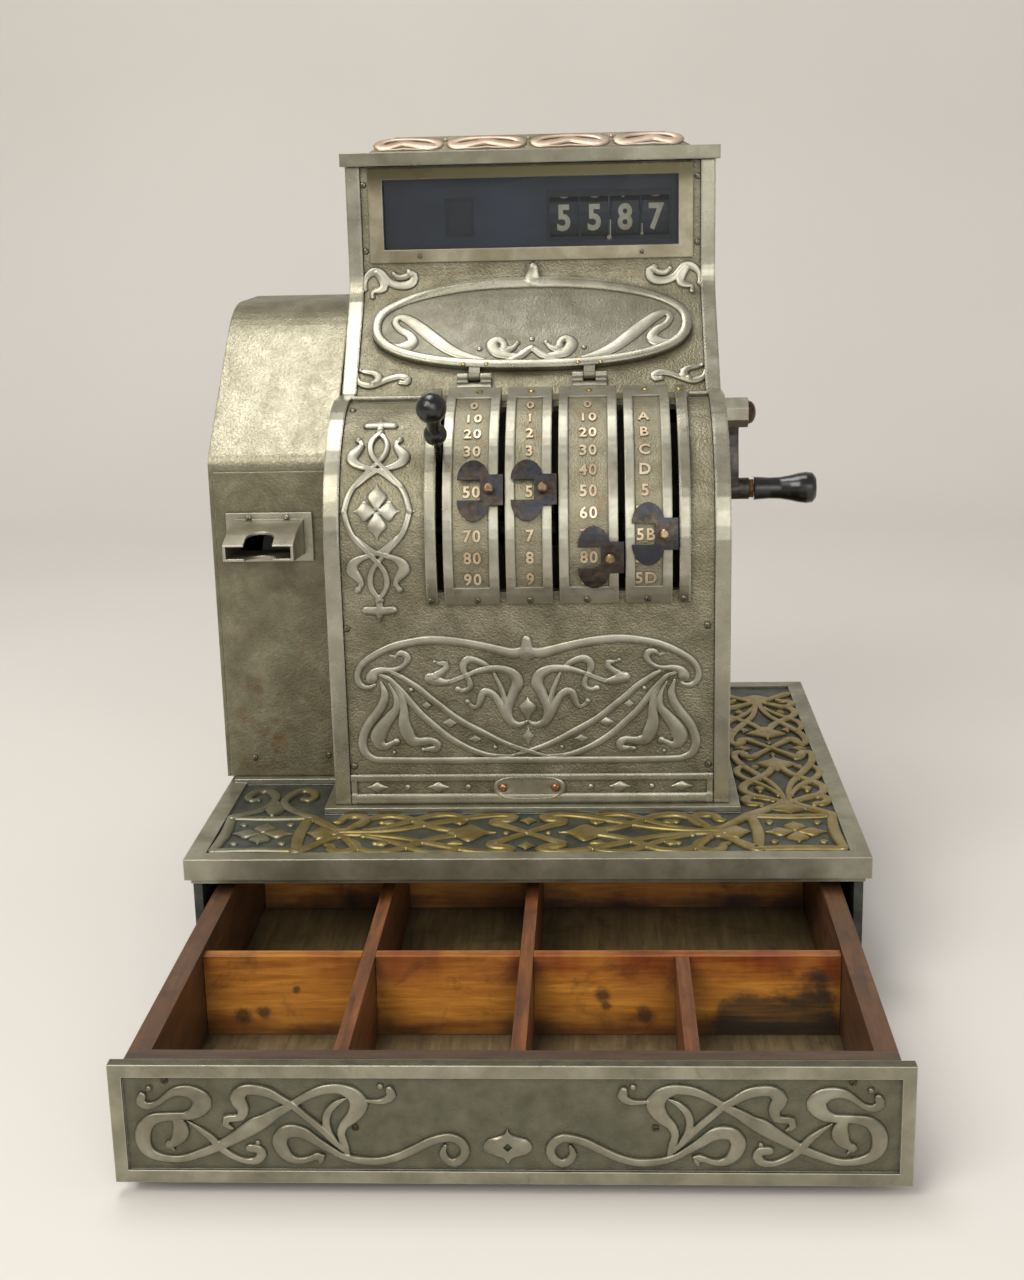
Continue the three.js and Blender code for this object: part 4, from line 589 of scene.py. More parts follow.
def door_height(chord):
    """The place up the slope that lies at a distance along the door's chord from its hinge pin."""
    low, high = -20.0, 160.0
    while high - low > 0.01:
        middle = (low + high) / 2
        point = on_door(0, middle, 0)
        reach = (point[1] - HINGE_AT[0]) * math.cos(CHORD) + (point[2] - HINGE_AT[1]) * math.sin(CHORD)
        low, high = (middle, high) if reach < chord else (low, middle)
    return low


# Raised work. A stroke is a list of (u, v, width), and sections are shares of its width and height.

SINK = -0.3
ROUNDED = (
    (-0.5, SINK), (-0.5, 0.4), (-0.44, 0.8), (-0.32, 1.0), (0.32, 1.0), (0.44, 0.8), (0.5, 0.4), (0.5, SINK),
)
FLAT = ((-0.5, SINK), (-0.5, 0.75), (-0.38, 1.0), (0.38, 1.0), (0.5, 0.75), (0.5, SINK))
DISC, DOME = 16, ((1.0, SINK), (1.0, 0.25), (0.86, 0.68), (0.5, 0.94), (0.06, 1.0))
STAR = ((1.0, SINK), (1.0, 0.4), (0.7, 0.9), (0.1, 1.0))
PETAL = ((0.0, 0.35), (0.2, 0.75), (0.38, 1.0), (0.54, 0.92), (0.68, 0.5), (0.82, 0.22), (1.0, 0.03))
LAYER, LAYERS = 0.02, 23
BUD_FROM, BUD_TO, BUD_SHARE, BUD_LEAST = 2.5, 5.2, 0.72, 1.9


def smooth(marks, closed=False, step=2.6):
    """Points (u, v, width) on a smooth curve through the marks."""
    count = len(marks)
    spans = count if closed else count - 1
    made = []
    for i in range(spans):
        near = [(i + k) % count if closed else min(max(i + k, 0), count - 1) for k in (-1, 0, 1, 2)]
        a, b, c, d = (Vector(marks[k]) for k in near)
        steps = max(1, round((c - b).xy.length / step))
        for k in range(steps):
            t = k / steps
            made.append(b + 0.5 * t * (c - a + t * (2 * a - 5 * b + 4 * c - d + t * (3 * (b - c) + d - a))))
    if not closed:
        made.append(Vector(marks[-1]))
    return made


def rounded_ends(points):
    """Adds the half circles at both ends of a stroke."""
    made = list(points)
    for turn in (0.75, 1.25):
        for end, near in (points[:2], points[:-3:-1]):
            away = (end - near).xy.normalized() * (end.z / 2 * math.sin(turn))
            cap = Vector((end.x + away.x, end.y + away.y, end.z * math.cos(turn)))
            made.insert(0 if end is points[0] else len(made), cap)
    return made


def turns_of(count, shift=0.0):
    """Angles spread evenly round a circle."""
    return [2 * math.pi * (k + shift) / count for k in range(count)]


class Shell:
    """Gathers closed shapes into one mesh."""

    def __init__(self):
        self.corners, self.faces = [], []

    def add(self, points):
        """Keeps points in mm and gives their numbers."""
        start = len(self.corners)
        self.corners += [Vector(p) * MM for p in points]
        return list(range(start, len(self.corners)))

    def skin(self, rings, closed=False):
        for a, b in zip(rings, rings[1:] + rings[:1] if closed else rings[1:]):
            count = len(a)
            self.faces += [(a[i], a[(i + 1) % count], b[(i + 1) % count], b[i]) for i in range(count)]
        if not closed:
            self.faces += [tuple(reversed(rings[0])), tuple(rings[-1])]

    def make(self, name, look, body="cabinet", slot="cabinet_nickel", smooth_to=38):
        """A mesh that rides on a body of the frame."""
        data = bpy.data.meshes.new(name)
        data.from_pydata(self.corners, [], self.faces)
        data.validate()
        shape = bmesh.new()
        shape.from_mesh(data)
        bmesh.ops.recalc_face_normals(shape, faces=shape.faces)
        shape.to_mesh(data)
        shape.free()
        for face in data.polygons:
            face.use_smooth = True
        data.set_sharp_from_angle(angle=math.radians(smooth_to))
        data.materials.append(LOOKS[look])
        made = placed(name, data)
        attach(made, body)


class Relief(Shell):
    """Gathers raised shapes on one surface."""

    def __init__(self, place, rise, middle=0.0):
        super().__init__()
        self.place, self.rise, self.middle, self.laid = place, rise, middle, 0

    def layer(self):
        """A little extra height, so that no two tops lie in one surface."""
        self.laid += 1
        return LAYER * (self.laid % LAYERS)

    def ring(self, points):
        return self.add([self.place(*p) for p in points])

    def stroke(self, marks, closed=False, lift=0.0):
        lift += self.layer()
        points = smooth(marks, closed)
        if not closed:
            points = rounded_ends(points)
            for u, v, width in (marks[0], marks[-1]):
                if BUD_FROM <= width <= BUD_TO:
                    self.dome(u, v, max(width * BUD_SHARE, BUD_LEAST), self.rise + lift)
        rings = []
        for i, p in enumerate(points):
            after = points[(i + 1) % len(points)] if closed else points[min(i + 1, len(points) - 1)]
            before = points[i - 1] if closed or i else p
            way = (after - before).xy.normalized()
            width = max(p.z, 0.3)
            high = self.rise * min(1.0, 0.45 + width / 8) + lift
            side = Vector((-way.y, way.x)) * width
            rings.append(self.ring([(p.x + side.x * a, p.y + side.y * a, high * b) for a, b in ROUNDED]))
        self.skin(rings, closed)

    def both(self, marks, lift=0.0):
        """A stroke and its mirror image."""
        self.stroke(marks, lift=lift)
        self.stroke([(2 * self.middle - u, v, w) for u, v, w in marks])

    def tower(self, u, v, outline, levels, rise):
        """Scaled copies of an outline, one above the other."""
        self.skin([self.ring([(u + s * x, v + s * y, rise * h) for x, y in outline]) for s, h in levels])

    def dome(self, u, v, radius, high=None):
        outline = [(radius * math.cos(a), radius * math.sin(a)) for a in turns_of(DISC)]
        self.tower(u, v, outline, DOME, (high or self.rise) + self.layer())

    def star(self, u, v, across, along, pinch=0.42):
        """A diamond with hollowed sides."""
        tips = []
        for k, turn in enumerate(turns_of(8)):
            reach = 1.0 if k % 2 == 0 else pinch * math.sqrt(2)
            tips.append((reach * across * math.cos(turn), reach * along * math.sin(turn)))
        self.tower(u, v, tips, STAR, self.rise + self.layer())

    def petal(self, u, v, turn, start, reach, width):
        """A pointed leaf that springs from near a middle."""
        marks = [(start + (reach - start) * t, width * w) for t, w in PETAL]
        self.stroke([(u + r * math.cos(turn), v + r * math.sin(turn), w) for r, w in marks])

    def ridge(self, marks):
        """A square-edged bar through a few places."""
        rise = self.rise + self.layer()
        rings = []
        for i, (u, v, width) in enumerate(marks):
            after, before = marks[min(i + 1, len(marks) - 1)], marks[max(i - 1, 0)]
            way = Vector((after[0] - before[0], after[1] - before[1])).normalized()
            side = Vector((-way.y, way.x)) * width
            rings.append(self.ring([(u + side.x * a, v + side.y * a, rise * b) for a, b in FLAT]))
        self.skin(rings)


# Scrolls on the lower front

LOWER_SCROLLS = (
    [(-1, 123.5, 7.4), (-10, 121.5, 8.8), (-21, 124, 8), (-32, 127, 7.4), (-53, 131, 7.4),
     (-74, 132.5, 7.2), (-96, 129.5, 6.6), (-108, 125.5, 6.4), (-118, 120.5, 6), (-126, 115, 5.8),
     (-130, 109.5, 5.6), (-131.5, 103.5, 5.4), (-129.5, 98, 5.2), (-125.5, 95, 5), (-120.5, 95.5, 4),
     (-118, 97.5, 2.4)],
    [(-120, 103, 10.4), (-118, 107, 7.4), (-112, 109, 5.6), (-104.5, 109, 4.4), (-98, 110.5, 4.4),
     (-93.5, 114, 5), (-91.5, 118.5, 6), (-94.5, 122, 6), (-98.5, 122, 4.6), (-101.5, 119.5, 3),
     (-105, 120.5, 2.2)],
    [(-109, 109, 2), (-99.5, 105, 4.2), (-92, 100, 5.2), (-83.5, 94, 5.6), (-76, 87, 5.8),
     (-67.5, 80, 5.8), (-58, 72, 5.8), (-47.5, 65, 5.8), (-35.5, 58.5, 5.6), (-23.5, 52, 5.2),
     (-12, 47, 4.4), (0, 43, 3.6), (10, 40, 2.6), (18.5, 38, 1)],
    [(-117, 106, 1.6), (-108, 103, 4.2), (-102, 97, 5.2), (-95.5, 89.5, 5.8), (-89.5, 81.5, 6),
     (-82, 72.5, 6), (-73.5, 64.5, 6), (-64, 56, 6), (-53.5, 49, 5.6), (-42.5, 43.5, 5.2),
     (-31.5, 40, 4.4), (-20.5, 39, 3.2), (-12, 39, 2)],
    [(-113, 99, 2.4), (-110.5, 90, 6.4), (-112.5, 82, 7.4), (-117.5, 74, 7.6), (-124.5, 65, 7.6),
     (-128.5, 56, 7.6), (-129.5, 48, 7.6), (-127, 41, 7), (-120.5, 37, 5.8), (-111, 36, 5.8),
     (-78, 35.5, 5.8), (-34, 35.5, 6), (0, 35.5, 6.2)],
    [(-107, 98, 1.6), (-102, 87.5, 4.4), (-102, 78, 6.8), (-107.5, 70.5, 9), (-113.5, 62.5, 11.2),
     (-117, 55, 13), (-116, 49.5, 10.5), (-111.5, 47, 6.4), (-107, 49.5, 4.6), (-103, 51, 4.4)],
    [(-105, 98.5, 1.6), (-98, 88.5, 4.6), (-96, 78, 6.8), (-96.5, 68, 9.4), (-94.5, 59, 11.2),
     (-90.5, 52, 10), (-84, 51, 7), (-76, 52, 6), (-71, 49, 7.2), (-72, 45, 6.4), (-77.5, 45, 4.2),
     (-82, 44.5, 3)],
    [(-74.5, 102, 10), (-69, 100, 8.6), (-61.5, 99, 4.8), (-54, 101.5, 4.2), (-45, 105, 4.2),
     (-36.5, 108, 5.4), (-26.5, 109.5, 6.4), (-17, 108.5, 7.4), (-9.5, 104, 9.4), (-7.5, 97, 9.8),
     (-10.5, 91, 8.6), (-13, 84, 7.8), (-15, 77.5, 7), (-15, 71, 7), (-12, 66, 6.6), (-6.5, 64, 5.6),
     (-1, 67, 2.4)],
    [(-71, 104, 7), (-66, 107, 6), (-62, 111, 5.6), (-62.5, 114, 5.4), (-67, 114, 3.6), (-71, 115.5, 2.6)],
    [(-53.5, 93, 4), (-48.5, 92, 4.4), (-44, 95, 5.2), (-45, 101.5, 4.4), (-48.5, 107, 5.2),
     (-49, 113, 6.8), (-45, 117, 6.8), (-38.5, 116, 5.8), (-32, 113, 4.8), (-28.5, 110.5, 2.4)],
    [(-26, 107, 2.4), (-21.5, 97, 4.2), (-18.5, 88, 4.6), (-16.5, 77.5, 5.3), (-14.5, 71, 5.6)],
    [(-46.5, 83, 3.5), (-43, 79.5, 3.2), (-39, 79, 4.4), (-36.5, 84.5, 5.8), (-34.5, 90, 6.8),
     (-30.5, 91, 6.6), (-25, 87, 6.6), (-21, 80, 7), (-17, 72, 7.6), (-12.5, 66, 7.4)],
)
LOWER_OVER = (2, 9)
LOWER_MIDDLE = (
    [(0, 123, 15), (0, 126, 11), (0, 128.5, 8.6), (0, 131.5, 8.2)],
    [(0, 86.5, 0.5), (0, 83.5, 5), (0, 79.5, 14), (0, 76.5, 13), (0, 73.5, 7), (0, 68, 2.4)],
)
LOWER_DOMES = ((90, 93, 2.2), (26, 46, 2), (105, 42.3, 1.7))
LOWER_STARS = ((78.2, 80.5, 4.4, 3.9), (60.4, 66, 6.4, 4.3), (41.2, 52.8, 5.8, 3.5))
PANEL_RISE, OVER = 1.8, 0.25


def lower_scrolls():
    work = Relief(on_lower, PANEL_RISE)
    for i, marks in enumerate(LOWER_SCROLLS):
        work.both(marks, lift=OVER if i in LOWER_OVER else 0.0)
    for marks in LOWER_MIDDLE:
        work.stroke(marks)
    work.star(0, 54.8, 4.8, 7.6, 0.46)
    for side in (-1, 1):
        for u, *rest in LOWER_DOMES:
            work.dome(side * u, *rest)
        for u, *rest in LOWER_STARS:
            work.star(side * u, *rest, 0.52)
    work.make("lower_scrolls", "relief")


# Band along the foot of the lower front

FOOT_LEVEL, FOOT_STARS, FOOT_DOMES = 13.4, (71, 119), (48, 95.5)
BAND_PLATE_LEVEL, BAND_PLATE, BAND_PLATE_RISE = 13, (28.0, 9.6), PANEL_RISE + 0.8
BAND_PLATE_STEPS = (
    (1.0, 1.0, -0.2), (1.0, 1.0, 0.72), (0.95, 0.95, 1.0),
    (0.9, 0.9, 1.0), (0.88, 0.88, 0.86), (0.4, 0.1, 0.86),
)
PANEL_SPAN, RIB_RISE, RIB_BANDS, RIB_W = (-140.0, 143.0), 2.35, ((0.1, 8.3), (18.7, 24.4)), 5
TOP_RIB_LEVEL, TOP_RIBS = 357.5, ((PANEL_SPAN[0], -77.5), (127.5, PANEL_SPAN[1]))


def power(value, exponent):
    """A power that keeps the sign."""
    return math.copysign(abs(value) ** exponent, value)


def foot_band():
    work = Relief(on_lower, PANEL_RISE)
    for side in (-1, 1):
        for place in FOOT_STARS:
            work.star(side * place, FOOT_LEVEL, 9, 4.6, 0.46)
        for place in FOOT_DOMES:
            work.dome(side * place, FOOT_LEVEL, 2.5)
    work.make("foot_marks", "relief")
    rails = Relief(on_lower, RIB_RISE)
    left, right = PANEL_SPAN
    for low, high in RIB_BANDS:
        rails.ridge([(u, (low + high) / 2, high - low) for u in (left, 0, right)])
    for u in (left + RIB_W / 2, right - RIB_W / 2):
        rails.ridge([(u, v, RIB_W) for v in (RIB_BANDS[0][0], 12, RIB_BANDS[1][1])])
    for a, b in TOP_RIBS:
        rails.ridge([(u, TOP_RIB_LEVEL, RIB_W) for u in (a, (a + b) / 2, b)])
    rails.make("panel_rails", "bar", slot="bright_nickel")


def blank_plate():
    plate = Relief(on_lower, BAND_PLATE_RISE)
    half, tall = BAND_PLATE
    outline = [(half * power(math.cos(a), 0.55), tall * power(math.sin(a), 0.75)) for a in turns_of(28)]
    rings = []
    for wide, high, up in BAND_PLATE_STEPS:
        edge = [(u * wide, BAND_PLATE_LEVEL + v * high) for u, v in outline]
        rings.append(plate.ring([(u, v, up * plate.rise) for u, v in edge]))
    plate.skin(rings)
    plate.make("blank_plate", "relief")


# Upright ornament left of the levers

COLUMN_AT = (-111.7, 232.5)
COLUMN_STROKES = (
    [(0, 85, 1), (0, 81, 5), (0, 75, 7), (0, 67, 4)],
    [(-10.5, 76, 6.5), (-5, 76.5, 7), (0, 76.5, 7), (5, 76.5, 7), (10.5, 76, 6.5)],
    [(1, 68, 4), (-4.5, 61, 4.6), (-6.5, 54, 5), (-5, 46, 4.8), (-1, 40, 4.2), (5, 33.5, 4.2),
     (11.5, 26.5, 4.6), (18, 19, 5), (22, 11, 5.2), (24, 4, 5.2), (25, 0, 5.4)],
    [(-16, 60, 4.2), (-13, 55, 4.6), (-16, 50, 7.5), (-20, 44.5, 10), (-18.5, 39.5, 8.5),
     (-12.5, 35.5, 5.6), (-4.5, 33, 4.2), (1.5, 31, 4), (8, 26.5, 4.2), (14, 21, 3.4), (17.5, 18, 2.4)],
)


def column_ornament():
    work = Relief(on_lower, PANEL_RISE)
    middle, level = COLUMN_AT
    for up in (-1, 1):
        for number, marks in enumerate(COLUMN_STROKES):
            sides = (1,) if number < 2 else (-1, 1)
            for side in sides:
                spot = [(middle + side * u, level + up * v, w) for u, v, w in marks]
                work.stroke(spot, lift=OVER if side * up > 0 and number > 1 else 0.0)
    for side in (-1, 1):
        work.stroke([(middle + side * 25, level, 6), (middle + side * 29, level, 1)])
    for k in range(4):
        work.petal(middle, level, k * math.pi / 2, 3.2, 22 if k % 2 else 18, 16)
    work.make("column_ornament", "relief")


# Door: polished rim, long ribbons and comma scrolls

DOOR_MIDDLE, DOOR_HALF, DOOR_POWER = (1.5, 53.8), (133.0, 46.0), 2.4
DOOR_RIM_W, DOOR_RISE, DOOR_AXIS = 8.4, 1.3, 2.5
DOOR_DOMES = ((-40.5, 43.5), (DOOR_AXIS, 53), (45.5, 43.5))
DOOR_TAB = [(2.5, 113, 9), (2.5, 116, 15), (3, 119.5, 11), (3.5, 125, 9)]
DOOR_STROKES = (
    [(-112, 49, 3.6), (-108, 47, 6.6), (-101.5, 48, 10.5), (-96, 52, 10), (-100, 60, 8), (-108, 66, 6.8),
     (-112, 73.5, 6.6), (-109, 78.5, 6.6), (-101, 76, 9.5), (-89.5, 66, 11.5), (-78, 54.5, 12),
     (-65, 43, 10.5), (-51.5, 35.5, 8), (-36.5, 31, 4)],
    [(-9.5, 49, 3.6), (-13, 43.5, 5.4), (-20, 42, 8.4), (-20.5, 48.5, 6.5), (-25, 53, 7.5),
     (-30.5, 48, 10.5), (-26, 39, 10), (-15, 35, 7.4), (-6.5, 35, 6.6), (-1, 40, 6), (2.5, 44, 6)],
    [(-24, 29, 3), (-13, 31, 6), (-5, 38, 6), (2, 44, 5.6)],
)


def door_work():
    work = Relief(on_door, DOOR_RISE, DOOR_AXIS)
    for marks in DOOR_STROKES:
        work.both(marks)
    for place in DOOR_DOMES:
        work.dome(*place, 2.4)
    work.make("door_scrolls", "relief", "door")
    rim = Relief(on_door, DOOR_RISE + 0.5)
    marks = []
    inset = DOOR_RIM_W / 2 + 0.2
    for turn in turns_of(64, 0.5):
        across = power(math.cos(turn), 2 / DOOR_POWER) * (DOOR_HALF[0] - inset)
        chord = DOOR_MIDDLE[1] + power(math.sin(turn), 2 / DOOR_POWER) * (DOOR_HALF[1] - inset)
        marks.append((DOOR_MIDDLE[0] + across, door_height(chord), DOOR_RIM_W))
    rim.stroke(marks, closed=True)
    rim.stroke(DOOR_TAB)
    rim.make("door_rim", "bar", "door")


# Corner scrolls of the upper front

CORNER_STROKES = (
    [(-140, 111, 4.4), (-139, 119, 5.4), (-132.5, 124.5, 7.4), (-126, 123, 8), (-120, 117, 7),
     (-113, 113.5, 7), (-104.5, 113, 7.5), (-98.5, 116, 8), (-97.5, 121.5, 6.5), (-102, 123.5, 4.4)],
    [(-115, 122.5, 3.4), (-111, 119.5, 5), (-105, 120, 5.4), (-101, 122, 5)],
    [(-129, 123, 6), (-124, 116.5, 8.5), (-124, 111, 8), (-129, 109, 5.5), (-133, 108, 4),
     (-133, 104, 3.4)],
    [(-138.5, 26, 3), (-134.5, 24, 4), (-128, 23, 5.4), (-123.5, 19, 7.6), (-124, 14, 7.6),
     (-127.5, 12, 5)],
    [(-141, 19.5, 3.4), (-139, 13, 5.4), (-130.5, 10, 6.6), (-122, 13, 6.2), (-114, 17, 6.2),
     (-105, 19, 6.8), (-99, 16, 7), (-100.5, 12, 5.5), (-105, 13, 3.6)],
)


def corner_scrolls():
    work = Relief(on_upper, PANEL_RISE, middle=1.5)
    for marks in CORNER_STROKES:
        work.both(marks)
    work.make("corner_scrolls", "relief")


# Lid's crest: a row of ring scrolls

CREST_PITCH, CREST_FIRST, CREST_RINGS, CREST_WORK = 69.3, -103.5, 4, 1.5
CREST_SHORT = {0: (0.72, 1.0), CREST_RINGS - 1: (1.0, 0.72)}
CREST_SIDE = [(10, 18.6, 4), (20, 16.8, 5), (28, 12.5, 9), (28, 8, 10), (21.5, 6, 10), (11, 9, 9)]
CREST_RING = [(0, 19, 4.5)] + CREST_SIDE + [(0, 12.6, 9)] + [(-u, v, w) for u, v, w in CREST_SIDE[::-1]]


def crest_scrolls():
    work = Relief(on_crest, CREST_WORK)
    for k in range(CREST_RINGS):
        middle = CREST_FIRST + CREST_PITCH * k
        share = CREST_SHORT.get(k, (1.0, 1.0))
        work.stroke([(middle + u * share[u > 0], v, w) for u, v, w in CREST_RING], closed=True)
        for side in (-1, 1):
            reach = 22 * share[side > 0]
            work.stroke([(middle + side * a, b, 2.2) for a, b in ((0, 3.4), (reach / 2, 2.2), (reach, 3.2))])
        if k + 1 < CREST_RINGS:
            work.dome(middle + CREST_PITCH / 2, 17, 1.6)
    work.make("crest_scrolls", "crest", slot="bright_nickel")


# Base plate: interlaced bands between corner squares

DEEP_RISE, BAND_BROAD, BAND_OVER, LEFT_OVER, SQUARE_HALF = 1.9, 1.18, 0.2, 0.5, (31.0, 35.0)
BAND_LEVEL, SIDE_BAND_X, SIDE_MIDDLE_Y = -174.5, 201.5, 26.0
BAND_STROKES = (
    [(0, 0, 5), (12, 10, 5.5), (20, 17, 7), (26, 22, 8.5), (24, 27, 8), (15, 29, 8), (11, 34, 7),
     (18, 38, 6), (30, 38, 6), (45, 34, 6.5), (62, 26, 6.5), (80, 17, 6), (97, 9, 5), (120, 3.5, 4.5),
     (140, 2.5, 4.5), (150, 1, 5)],
    [(45, 3, 5), (55, 5, 5.5), (68, 10, 6.5), (80, 19, 7), (90, 29, 7), (100, 36, 7), (112, 38, 7),
     (123, 32, 7), (131, 20, 6.5), (138, 8, 5.5), (146, 8, 6), (155, 18, 7), (164, 29, 8), (170, 36, 9)],
    [(48, 32, 4), (57, 38, 5.5), (67, 40, 6), (77, 37, 6), (88, 29, 6), (98, 20, 5.5), (110, 12, 4.5),
     (124, 6, 3)],
    [(136, 12, 4), (129, 19, 6), (126, 28, 7.5), (130, 36, 8), (138, 38, 8), (144, 33, 7), (145, 26, 6),
     (149, 24, 4.5)],
    [(103, 20, 2), (107, 22, 8), (113, 22, 3)],
    [(48, 23, 2), (52, 21, 7), (58, 23, 2)],
    [(24, 0, 1), (31, 0, 4), (37, 0, 18), (43, 0, 30), (50, 0, 20), (57, 0, 7)],
    [(147, 0, 6), (153, 0, 18), (158, 0, 22), (163, 0, 8), (167, 0, 1)],
)
LEFT_STROKES = (
    [(-232, -139, 8), (-222, -131, 7), (-211, -120, 7), (-205, -104, 7), (-207, -88, 8), (-215, -77, 8),
     (-224, -80, 8), (-228, -92, 7), (-224, -101, 6), (-219, -98, 4)],
    [(-171, -139, 8), (-180, -131, 7), (-190, -120, 7), (-197, -104, 7), (-194, -88, 8), (-187, -77, 8),
     (-178, -80, 8), (-174, -92, 7), (-178, -101, 6), (-183, -98, 4)],
    [(-201, -136, 3), (-201, -127, 12), (-201, -118, 15), (-201, -108, 3)],
)


def half_band(work, start, way, across, squeeze=1.0):
    """Half of a band, from its middle to a corner square."""
    for marks in BAND_STROKES:
        signs = (1,) if marks[-1][1] == 0 else (-1, 1)
        for sign in signs:
            spot = []
            for along, up, width in marks:
                u = start[0] + way[0] * along * squeeze + across[0] * sign * up
                v = start[1] + way[1] * along * squeeze + across[1] * sign * up
                spot.append((u, v, width * BAND_BROAD))
            work.stroke(spot, lift=BAND_OVER if sign > 0 else 0.0)


def corner_square(work, u, v):
    wide, tall = SQUARE_HALF
    for side in (-1, 1):
        outer, inner = u + side * wide, u + side * (wide - 2.5)
        work.stroke([(outer, v - tall, 8), (inner, v, 9.5), (outer, v + tall, 8)])
        outer, inner = v + side * tall, v + side * (tall - 2)
        work.stroke([(u - wide, outer, 7), (u, inner, 7.5), (u + wide, outer, 7)])
        for up in (-1, 1):
            work.dome(u + side * 18, v + up * 20, 3.2)
    for k in range(4):
        work.petal(u, v, k * math.pi / 2, 4, 22 if k % 2 else 23, 17)


def base_bands():
    work = Relief(on_base, DEEP_RISE)
    for side in (-1, 1):
        half_band(work, (0, BAND_LEVEL), (side, 0), (0, 1))
        for up in (-1, 1):
            work.star(0, BAND_LEVEL + up * 26.5, 6.5, 8.5)
        work.dome(side * 16, BAND_LEVEL, 2.6)
        corner_square(work, side * SIDE_BAND_X, BAND_LEVEL)
        half_band(work, (SIDE_BAND_X, SIDE_MIDDLE_Y), (0, side), (0.85, 0), 0.965)
        work.dome(SIDE_BAND_X, SIDE_MIDDLE_Y + side * 16, 2.6)
        work.star(SIDE_BAND_X + side * 24, SIDE_MIDDLE_Y, 8, 6)
    for marks in LEFT_STROKES:
        work.stroke(marks, lift=LEFT_OVER)
    work.make("base_bands", "band", slot="base_nickel")


# Drawer front: two scroll groups beside a pierced lens

DRAWER_STROKES = (
    [(-217, 55, 5.4), (-218, 51, 6.2), (-214, 48.5, 5.2), (-208.5, 50, 4), (-203.5, 54, 4.2),
     (-197, 58, 6), (-188.5, 58, 8.4), (-182.5, 54, 11), (-181.5, 49.5, 12), (-185.5, 44.5, 9),
     (-192, 42, 5.6), (-197, 42, 5.4)],
    [(-193, 42, 5.4), (-204, 41.5, 5.8), (-212, 39.5, 8), (-217, 34, 9.6), (-218.5, 28, 10),
     (-217.5, 21.5, 8.8), (-213, 16.5, 6.6), (-204.5, 14, 5), (-194.5, 14, 4.8), (-182.5, 18, 5.6),
     (-173.5, 22, 6.2), (-164.5, 27, 7.6), (-156.5, 32, 9.4), (-150.5, 36, 10.4), (-144, 39.5, 8.6),
     (-137.5, 44, 7), (-129.5, 48.5, 5.4), (-123.5, 52.5, 5), (-116.5, 56.5, 5.4), (-110.5, 59, 6),
     (-105.5, 60, 6.4), (-98.5, 60, 7), (-91.5, 56.5, 9.4), (-88, 50, 11.4), (-91.5, 42.5, 8.8),
     (-97.5, 36.5, 6), (-99.5, 30.5, 5.2), (-98, 25, 5), (-97, 20.5, 4.6), (-95.5, 16, 2.4)],
    [(-198, 41, 5.4), (-195.5, 36, 8.8), (-195.5, 30.5, 10.6), (-198.5, 25.5, 7.2), (-202.5, 23, 4.2)],
    [(-203, 23, 2.4), (-200, 19.5, 1.4)],
    [(-190.5, 38.5, 0.8), (-183, 33, 3.4), (-176.5, 27, 5), (-173.5, 23, 4.8), (-169.5, 19, 4.6),
     (-163.5, 15, 4), (-156.5, 12.5, 4), (-150.5, 13, 5.6), (-147.5, 17, 6.6), (-149.5, 20.5, 5.8),
     (-154.5, 21, 5.6)],
    [(-164.5, 34.5, 2.2), (-168, 37, 4.6), (-167, 40.5, 5.6), (-162.5, 41, 4.6), (-158.5, 42, 6),
     (-157, 47, 7.6), (-160, 54, 10), (-156, 59, 7.6), (-149, 59.5, 7.2), (-141, 57.5, 6.8),
     (-133.5, 53, 5.4), (-127.5, 49.5, 4.8), (-119.5, 42, 4.6), (-111, 34, 4.8), (-104.5, 27, 4.6),
     (-98.5, 20, 2.4)],
    [(-113, 11.5, 1.6), (-112, 15.5, 6.2), (-116, 15.5, 4.4), (-121.5, 13.5, 4), (-128.5, 13.5, 5.4),
     (-134, 18, 8.2), (-136.5, 25, 9.6), (-133.5, 31, 9.2), (-128, 32.5, 9), (-121.5, 31, 8),
     (-114.5, 26, 6.2), (-107, 21, 5), (-100.5, 17, 4.4), (-94, 14.5, 4.6), (-86, 13, 5.2),
     (-76.5, 13, 5.2), (-67, 15.5, 5.4), (-57.5, 20, 5.6), (-47.5, 25.5, 5.6), (-40, 28, 5.6),
     (-33.5, 28.5, 5.8), (-28, 25, 6), (-26, 19.5, 6), (-28.5, 14.5, 5.8), (-33, 12, 5.6),
     (-37.5, 14, 5.4), (-39.5, 18.5, 5), (-38, 23, 2.4)],
    [(-83, 52.5, 2.2), (-77, 52, 3.2), (-72, 53, 4.8), (-68.5, 56, 6.4), (-69.5, 59.5, 5.4)],
    [(-95.5, 54, 1), (-100.5, 51.5, 3.4), (-106, 46, 5), (-108, 39.5, 5), (-107, 32.5, 4.8),
     (-103.5, 26.5, 4), (-101, 23.5, 1.4)],
)
DRAWER_LIFTS = {1: 0.15, 5: 0.3}
DRAWER_BALLS = ((-212.5, 60, 2.1), (-149.5, 24.5, 1.8), (-75, 61.5, 2.1))
LENS_AT, LENS_HOLE = (-1.0, 22.5), 2.9
LENS_QUARTER = ((14.4, 0), (13.6, 2.6), (11, 5), (7, 6.2), (3, 7.6), (1.4, 9.6), (0, 12.3))


